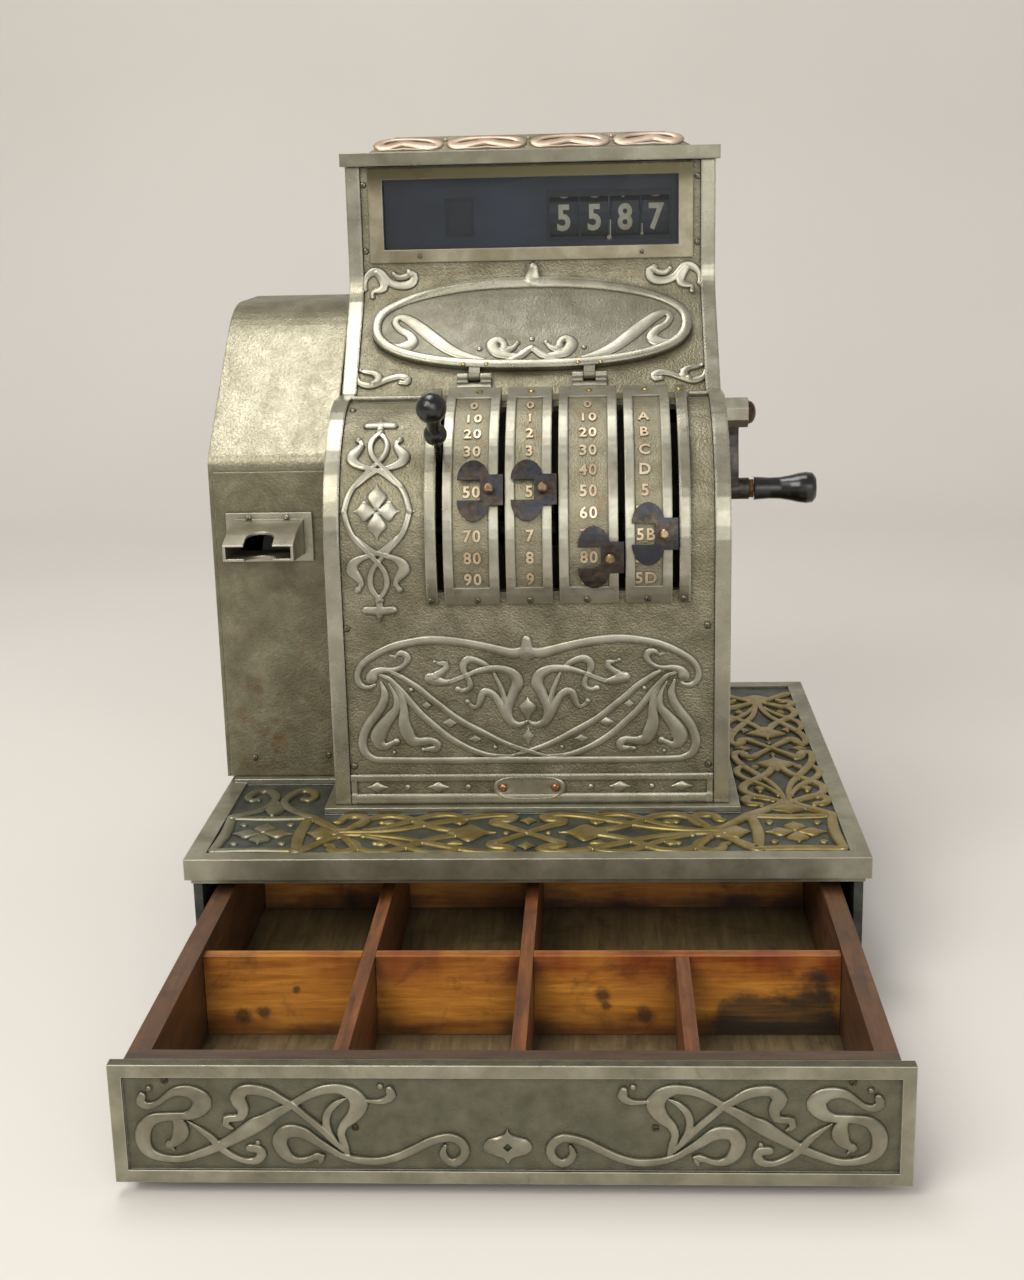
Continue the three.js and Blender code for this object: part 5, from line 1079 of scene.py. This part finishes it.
def pierced_lens(work):
    """The pointed shape in the middle of the drawer's front, with a hole in it."""
    half = LENS_QUARTER[:-1] + tuple((-x, y) for x, y in LENS_QUARTER[:0:-1])
    outline = half + tuple((-x, -y) for x, y in half)
    hole = [(x * LENS_HOLE / (abs(x) + abs(y)), y * LENS_HOLE / (abs(x) + abs(y))) for x, y in outline]
    small = [(x * 0.88, y * 0.88) for x, y in outline]
    u, v = LENS_AT
    rings = []
    for places, high in ((outline, SINK), (outline, 0.5), (small, 1.0), (hole, 1.0), (hole, SINK)):
        rings.append(work.ring([(u + x, v + y, work.rise * high) for x, y in places]))
    work.skin(rings, closed=True)


def drawer_scrolls():
    work = Relief(on_drawer, DEEP_RISE, LENS_AT[0])
    for i, marks in enumerate(DRAWER_STROKES):
        work.both(marks, lift=DRAWER_LIFTS.get(i, 0.0))
    for u, v, radius in DRAWER_BALLS:
        work.dome(u, v, radius)
        work.dome(2 * work.middle - u, v, radius)
    pierced_lens(work)
    work.make("drawer_scrolls", "relief_dark", "drawer", "base_nickel")


# Raised numerals, bent onto strips and drums

CAP_SHARE, ROW_H = 0.73, 3
NUMERAL_H, NUMERAL_T, NUMERAL_SINK, NUMERAL_BOLD, NUMERAL_SPREAD = 9.0, 0.95, 0.1, 0.34, 1.18
STRIP_TOP_DEG, STRIP_STEP_DEG = 66.0, 8.2
STRIP_MIDDLES = (-39.4, 4.2, 48.5, 91.2)
TENS, UNITS = [str(10 * k) for k in range(10)], [str(k) for k in range(10)]
STRIP_SIGNS = (TENS, UNITS, TENS, ["", "A", "B", "C", "D", "5", "5A", "5B", "5C", "5D"])
DIGIT_H, DIGIT_T, DIGIT_SINK, DIGIT_BOLD, DIGIT_SQUEEZE, DIGIT_LIFT_DEG = 21.4, 0.5, 0.2, 0.9, 0.86, 1.6
DRUM_AT, DRUM_FACE_R, DRUM_STEP_DEG = (150.8, 554.1), 43.35, 36.0
DRUM_MIDDLES = (29.2, 55.0, 80.8, 106.6)
DRUM_SHOWN = (5, 5, 8, 7)
DRUM_BODIES = ("first_drum", "second_drum", "third_drum", "fourth_drum")


def taken(shape):
    """The corners and faces of a bmesh, which is then freed."""
    shape.verts.index_update()
    made = [v.co.copy() for v in shape.verts], [tuple(v.index for v in f.verts) for f in shape.faces]
    shape.free()
    return made


def sign(text, height, thick, weight, spread=1.0, squeeze=1.0):
    """A flat sign as a closed mesh in mm, its middle at zero, cut into rows so that it can bend."""
    curve = bpy.data.curves.new("sign", "FONT")
    curve.body = text
    curve.align_x = "CENTER"
    curve.size = height / CAP_SHARE
    curve.extrude = thick / 2
    curve.offset = weight
    curve.space_character = spread
    curve.resolution_u = 3
    holder = placed("sign", curve)
    bpy.context.view_layer.update()
    data = bpy.data.meshes.new_from_object(holder.evaluated_get(bpy.context.evaluated_depsgraph_get()))
    bpy.data.objects.remove(holder)
    bpy.data.curves.remove(curve)
    shape = bmesh.new()
    shape.from_mesh(data)
    bpy.data.meshes.remove(data)
    bmesh.ops.remove_doubles(shape, verts=shape.verts, dist=0.001)
    rows = max(1, round(height / ROW_H))
    for k in range(rows + 1):
        everything = shape.verts[:] + shape.edges[:] + shape.faces[:]
        level = (0, height * k / rows, 0)
        bmesh.ops.bisect_plane(shape, geom=everything, plane_co=level, plane_no=(0, 1, 0), dist=0.001)
    corners, faces = taken(shape)
    return [(c.x * squeeze, c.y - height / 2, c.z) for c in corners], faces


class Signs(Shell):
    """Gathers signs that are bent onto a surface."""

    def put(self, made, place):
        numbers = self.add([place(*c) for c in made[0]])
        self.faces += [tuple(numbers[i] for i in face) for face in made[1]]


def strip_numerals():
    for number, (middle, signs) in enumerate(zip(STRIP_MIDDLES, STRIP_SIGNS)):
        work = Signs()
        for k, text in enumerate(signs):
            level = STRIP_TOP_DEG - STRIP_STEP_DEG * k

            def place(x, y, z):
                angle = level + math.degrees(y / STRIP_FIELD_R)
                return on_strip(middle + x, angle, z + NUMERAL_T / 2 - NUMERAL_SINK)

            if text:
                work.put(sign(text, NUMERAL_H, NUMERAL_T, NUMERAL_BOLD, NUMERAL_SPREAD), place)
        work.make(f"strip_numerals_{number + 1}", "numeral", slot="bright_nickel", smooth_to=30)


def drum_digits():
    for number, (middle, shown, body) in enumerate(zip(DRUM_MIDDLES, DRUM_SHOWN, DRUM_BODIES)):
        work = Signs()
        for k in range(10):
            level = DRUM_STEP_DEG * (k - shown) + DIGIT_LIFT_DEG

            def place(x, y, z):
                turn = math.radians(level) + y / DRUM_FACE_R
                reach = DRUM_FACE_R + z + DIGIT_T / 2 - DIGIT_SINK
                return middle + x, DRUM_AT[0] - reach * math.cos(turn), DRUM_AT[1] + reach * math.sin(turn)

            work.put(sign(str(k), DIGIT_H, DIGIT_T, DIGIT_BOLD, squeeze=DIGIT_SQUEEZE), place)
        work.make(f"drum_digits_{number + 1}", "cream", body, "drum_black", 30)


# Screws and rivets

HEAD_SIDES, SLOT = 14, 0.14
RIVET = ((1.0, -0.2), (1.0, 0.15), (0.82, 0.45), (0.45, 0.62), (0.05, 0.68))
SLOTTED_FOOT, SLOTTED_HALF = ((1.0, -0.2), (1.0, 0.2)), ((1.0, 0.1), (0.98, 0.3), (0.72, 0.5), (0.4, 0.56))
FORWARD = (0, -1, 0)
PANEL_SCREWS = ((-138, 142), (-137, 31), (138, 142), (139, 31), (-135.7, 331.8))
STRIP_FOOT_SCREWS, STRIP_FOOT_DEG = (-72, -36.4, 3.7, 46.8, 92.7, 119.9), -16.2
STRIP_HEAD_SCREWS, STRIP_HEAD_DEG = (-36.4, 4.6, 49.6, 93.5, 119.9), 77.0
TOP_SCREWS, TOP_SCREW_Y = ((-138, 585), (141, 586.5), (-138, 531), (141, 533)), 90.5
COVER_SCREWS, COVER_SCREW_Y = ((-229.5, 129), (-168, 131)), -51
FRAME_SCREWS, FRAME_SCREW_AT = (-92, 94.5), (85.2, 526.2)
CHUTE_SCREWS, CHUTE_SCREW_AT = (-222.2, -191.7), (-53.8, 331)
PLATE_SCREW_X, PLATE_SCREW_H = 20.4, 2.4
DOOR_RIVETS, DOOR_RIVET_V = (-53.5, -34.5, 40.5, 59), 26.3
DRAWER_SCREWS = ((-203, 65), (-202, 12.5), (-91, 34.5), (86, 35), (200, 65), (200, 15))


class Hardware(Shell):
    """Gathers small fastener heads."""

    def head(self, at, outward, radius, turn=0.5, slotted=True):
        way = Vector(outward).normalized()
        side = way.orthogonal().normalized()
        side = (side * math.cos(turn) + way.cross(side) * math.sin(turn)).normalized()
        up = way.cross(side)

        def ring(points, high):
            return self.add([Vector(at) + side * x + up * y + way * (radius * high) for x, y in points])

        full = [(radius * math.cos(a), radius * math.sin(a)) for a in turns_of(HEAD_SIDES)]
        levels = SLOTTED_FOOT if slotted else RIVET
        self.skin([ring([(x * s, y * s) for x, y in full], h) for s, h in levels])
        if not slotted:
            return
        start, gap = math.asin(SLOT), SLOT * radius
        arc = [start + (math.pi - 2 * start) * k / 8 for k in range(9)]
        for face in (1, -1):
            half = [(radius * math.cos(a), face * max(radius * math.sin(a), gap)) for a in arc]
            rings = []
            for share, high in SLOTTED_HALF:
                rings.append(ring([(x * share, face * max(abs(y) * share, gap)) for x, y in half], high))
            self.skin(rings)

    def make(self, name, look, body="cabinet", slot="cabinet_nickel"):
        super().make(name, look, body, slot, 50)


def facing(place, u, v, h=0.0):
    """A place on a surface, and the direction that it faces."""
    return place(u, v, h), Vector(place(u, v, 1)) - Vector(place(u, v, 0))


def on_rim(u, degrees):
    """A place on a strip's rim, and the direction that it faces."""
    turn = math.radians(degrees)
    return round_shaft(u, STRIP_RIM_R, turn), (0, -math.cos(turn), math.sin(turn))


def fasteners():
    steel = Hardware()
    for k, (u, v) in enumerate(PANEL_SCREWS):
        steel.head(*facing(on_lower, u, v), 2.7, 0.4 + 1.3 * k)
    for k, u in enumerate(STRIP_FOOT_SCREWS):
        steel.head(*on_rim(u, STRIP_FOOT_DEG), 2.5, 0.3 + 0.9 * k)
    for k, (u, z) in enumerate(TOP_SCREWS):
        steel.head((u, TOP_SCREW_Y, z), FORWARD, 2.6, 0.6 + 1.1 * k)
    for k, (u, z) in enumerate(COVER_SCREWS):
        steel.head((u, COVER_SCREW_Y, z), FORWARD, 2.6, 0.2 + 1.7 * k)
    for u in FRAME_SCREWS:
        steel.head((u, *FRAME_SCREW_AT), FORWARD, 1.7, 0.9)
    steel.make("steel_screws", "screw", slot="dark_steel")
    chute = Hardware()
    for k, u in enumerate(CHUTE_SCREWS):
        chute.head((u, *CHUTE_SCREW_AT), FORWARD, 2.4, 0.7 + k)
    chute.make("chute_screws", "bar", slot="bright_nickel")
    brass = Hardware()
    for k, u in enumerate(STRIP_HEAD_SCREWS):
        brass.head(*on_rim(u, STRIP_HEAD_DEG), 2.5, 0.5 + 1.4 * k)
    brass.make("brass_screws", "brass", slot="counter_brass")
    copper = Hardware()
    for side in (-1, 1):
        at = on_lower(side * PLATE_SCREW_X, BAND_PLATE_LEVEL, PLATE_SCREW_H)
        copper.head(at, FORWARD, 3.3, 0.4 * side)
    copper.make("copper_screws", "copper", slot="counter_brass")
    rivets = Hardware()
    for u in DOOR_RIVETS:
        rivets.head(*facing(on_door, u, DOOR_RIVET_V, 1.6), 1.9, slotted=False)
    rivets.make("door_rivets", "brass", "door", "counter_brass")
    old = Hardware()
    for k, (u, v) in enumerate(DRAWER_SCREWS):
        old.head(on_drawer(u, v, 0), FORWARD, 2.2, 0.8 * k)
    old.make("drawer_screws", "old_screw", "drawer", "rusty_steel")


# Behind the windows: dark spacers between the drums, cream pins and the flag's shutter

SPACER_HALF, SPACER_Y, SPACER_Z = 0.5, (106.0, 140.0), (532, 578)
DIGIT_BORDER = ((15, 120.5, 536, 577.5), (17.5, 117.6, 539, 571.8), (102.2, 102.8))
FLAG_BORDER = ((-71.4, -46.6, 540.6, 573), (-69, -49, 543, 570.6), (102.4, 102.8))
NEEDLE_HALF, NEEDLE_Y, PIN_Y = 0.5, (101.6, 102.1), 102
PINS = ((67.5, 537.8, 2.1), (95, 540.6, 1.2))
NEEDLES = (("long_needle", 68.4, 539.5, 552.5), ("short_needle", 95, 541, 549))
SHUTTER = ((-90, -30), (106.4, 108.0), (526, 590))


def box_piece(name, spans, look, edge=0.3):
    """A block with softened edges behind the window."""
    shape = bmesh.new()
    bmesh.ops.create_cube(shape, size=1)
    for vertex in shape.verts:
        vertex.co = [(a + b) / 2 * MM + c * (b - a) * MM for c, (a, b) in zip(vertex.co, spans)]
    bmesh.ops.bevel(shape, geom=shape.edges, offset=edge * MM, segments=2, affect="EDGES")
    block = Shell()
    block.corners, block.faces = taken(shape)
    block.make(name, look, slot="mask_blue")


def window_border(name, outer, inner, depth):
    """A flat border between two rectangles (left, right, low, high)."""
    border = Shell()
    rings = []
    for (left, right, low, high), y in ((outer, 0), (outer, 1), (inner, 1), (inner, 0)):
        places = ((left, low), (right, low), (right, high), (left, high))
        rings.append(border.add([(x, depth[y], z) for x, z in places]))
    border.skin(rings, closed=True)
    border.make(name, "flag", slot="mask_blue")


def display_inside():
    for k, (a, b) in enumerate(zip(DRUM_MIDDLES, DRUM_MIDDLES[1:])):
        middle = (a + b) / 2
        spans = ((middle - SPACER_HALF, middle + SPACER_HALF), SPACER_Y, SPACER_Z)
        box_piece(f"drum_spacer_{k + 1}", spans, "mask")
    window_border("digit_border", *DIGIT_BORDER)
    window_border("flag_border", *FLAG_BORDER)
    pins = Hardware()
    for x, z, radius in PINS:
        pins.head((x, PIN_Y, z), FORWARD, radius, slotted=False)
    pins.make("window_pins", "cream", slot="mask_blue")
    for name, x, low, high in NEEDLES:
        box_piece(name, ((x - NEEDLE_HALF, x + NEEDLE_HALF), NEEDLE_Y, (low, high)), "cream", 0.15)
    box_piece("flag_shutter", SHUTTER, "flag_back", 0.5)


for build in (
    lower_scrolls, foot_band, blank_plate, column_ornament, door_work, corner_scrolls, crest_scrolls,
    base_bands, drawer_scrolls, strip_numerals, drum_digits, fasteners, display_inside,
):
    build()


# Faces that get a look of their own: the brass tips of the finger knobs, and the crank's pale hub

KNOB_FROM_R, HUB_FROM_Z = 123.0, 383.0


def second_look(name, look, chosen):
    data = NODES[name].data
    data.materials.append(LOOKS[look])
    for face in data.polygons:
        if chosen(face.center):
            face.material_index = 1


def on_knob(at):
    return math.hypot(at.y - SHAFT_AT[0] * MM, at.z - SHAFT_AT[1] * MM) > KNOB_FROM_R * MM


def on_hub(at):
    return at.z > HUB_FROM_Z * MM


for name in LOOK_NODES["lever"].split():
    second_look(name, "knob", on_knob)
second_look("crank_arm", "chute", on_hub)


# Floor, wall and light, in metres

STAGE_REACH, STAGE_BACK, STAGE_H, STAGE_BEND, STAGE_STEPS = 6.0, 1.6, 5.0, 0.8, 12


def make_stage():
    profile = [(-STAGE_REACH, 0)]
    for i in range(STAGE_STEPS + 1):
        turn = math.radians(90 * i / STAGE_STEPS)
        profile.append((STAGE_BACK + STAGE_BEND * math.sin(turn), STAGE_BEND - STAGE_BEND * math.cos(turn)))
    profile.append((STAGE_BACK + STAGE_BEND, STAGE_H))
    corners = [(x, y, z) for y, z in profile for x in (-STAGE_REACH, STAGE_REACH)]
    faces = [(2 * i, 2 * i + 1, 2 * i + 3, 2 * i + 2) for i in range(len(profile) - 1)]
    data = bpy.data.meshes.new("backdrop")
    data.from_pydata(corners, [], faces)
    for face in data.polygons:
        face.use_smooth = True
    data.materials.append(LOOKS["backdrop"])
    placed("backdrop", data)


SKY, SKY_STRENGTH = "#e9e6e1", 0.55
LAMPS_AIM = (0, 0, 0.3)
LAMPS = (
    ("key", (-1.3, -2.1, 2.3), 1.6, 1.6, 48, "#fffaf2"),
    ("fill", (0.7, -2.9, 1.3), 1.8, 1.4, 26, "#ffffff"),
    ("top", (-0.5, 0.2, 2.8), 1.4, 1.0, 28, "#ffffff"),
)


def make_light():
    world = bpy.data.worlds.new("studio")
    world.use_nodes = True
    sky = world.node_tree.nodes["Background"]
    sky.inputs["Color"].default_value = linear(SKY)
    sky.inputs["Strength"].default_value = SKY_STRENGTH
    bpy.context.scene.world = world
    for name, at, width, height, watts, colour in LAMPS:
        data = bpy.data.lights.new(name, "AREA")
        data.shape = "RECTANGLE"
        data.size, data.size_y = width, height
        data.energy = watts
        data.color = linear(colour)[:3]
        made = placed(name, data)
        made.location = at
        made.rotation_mode = "QUATERNION"
        made.rotation_quaternion = (Vector(LAMPS_AIM) - Vector(at)).to_track_quat("-Z", "Y")


make_stage()
make_light()
bpy.context.scene.view_settings.view_transform = "Standard"
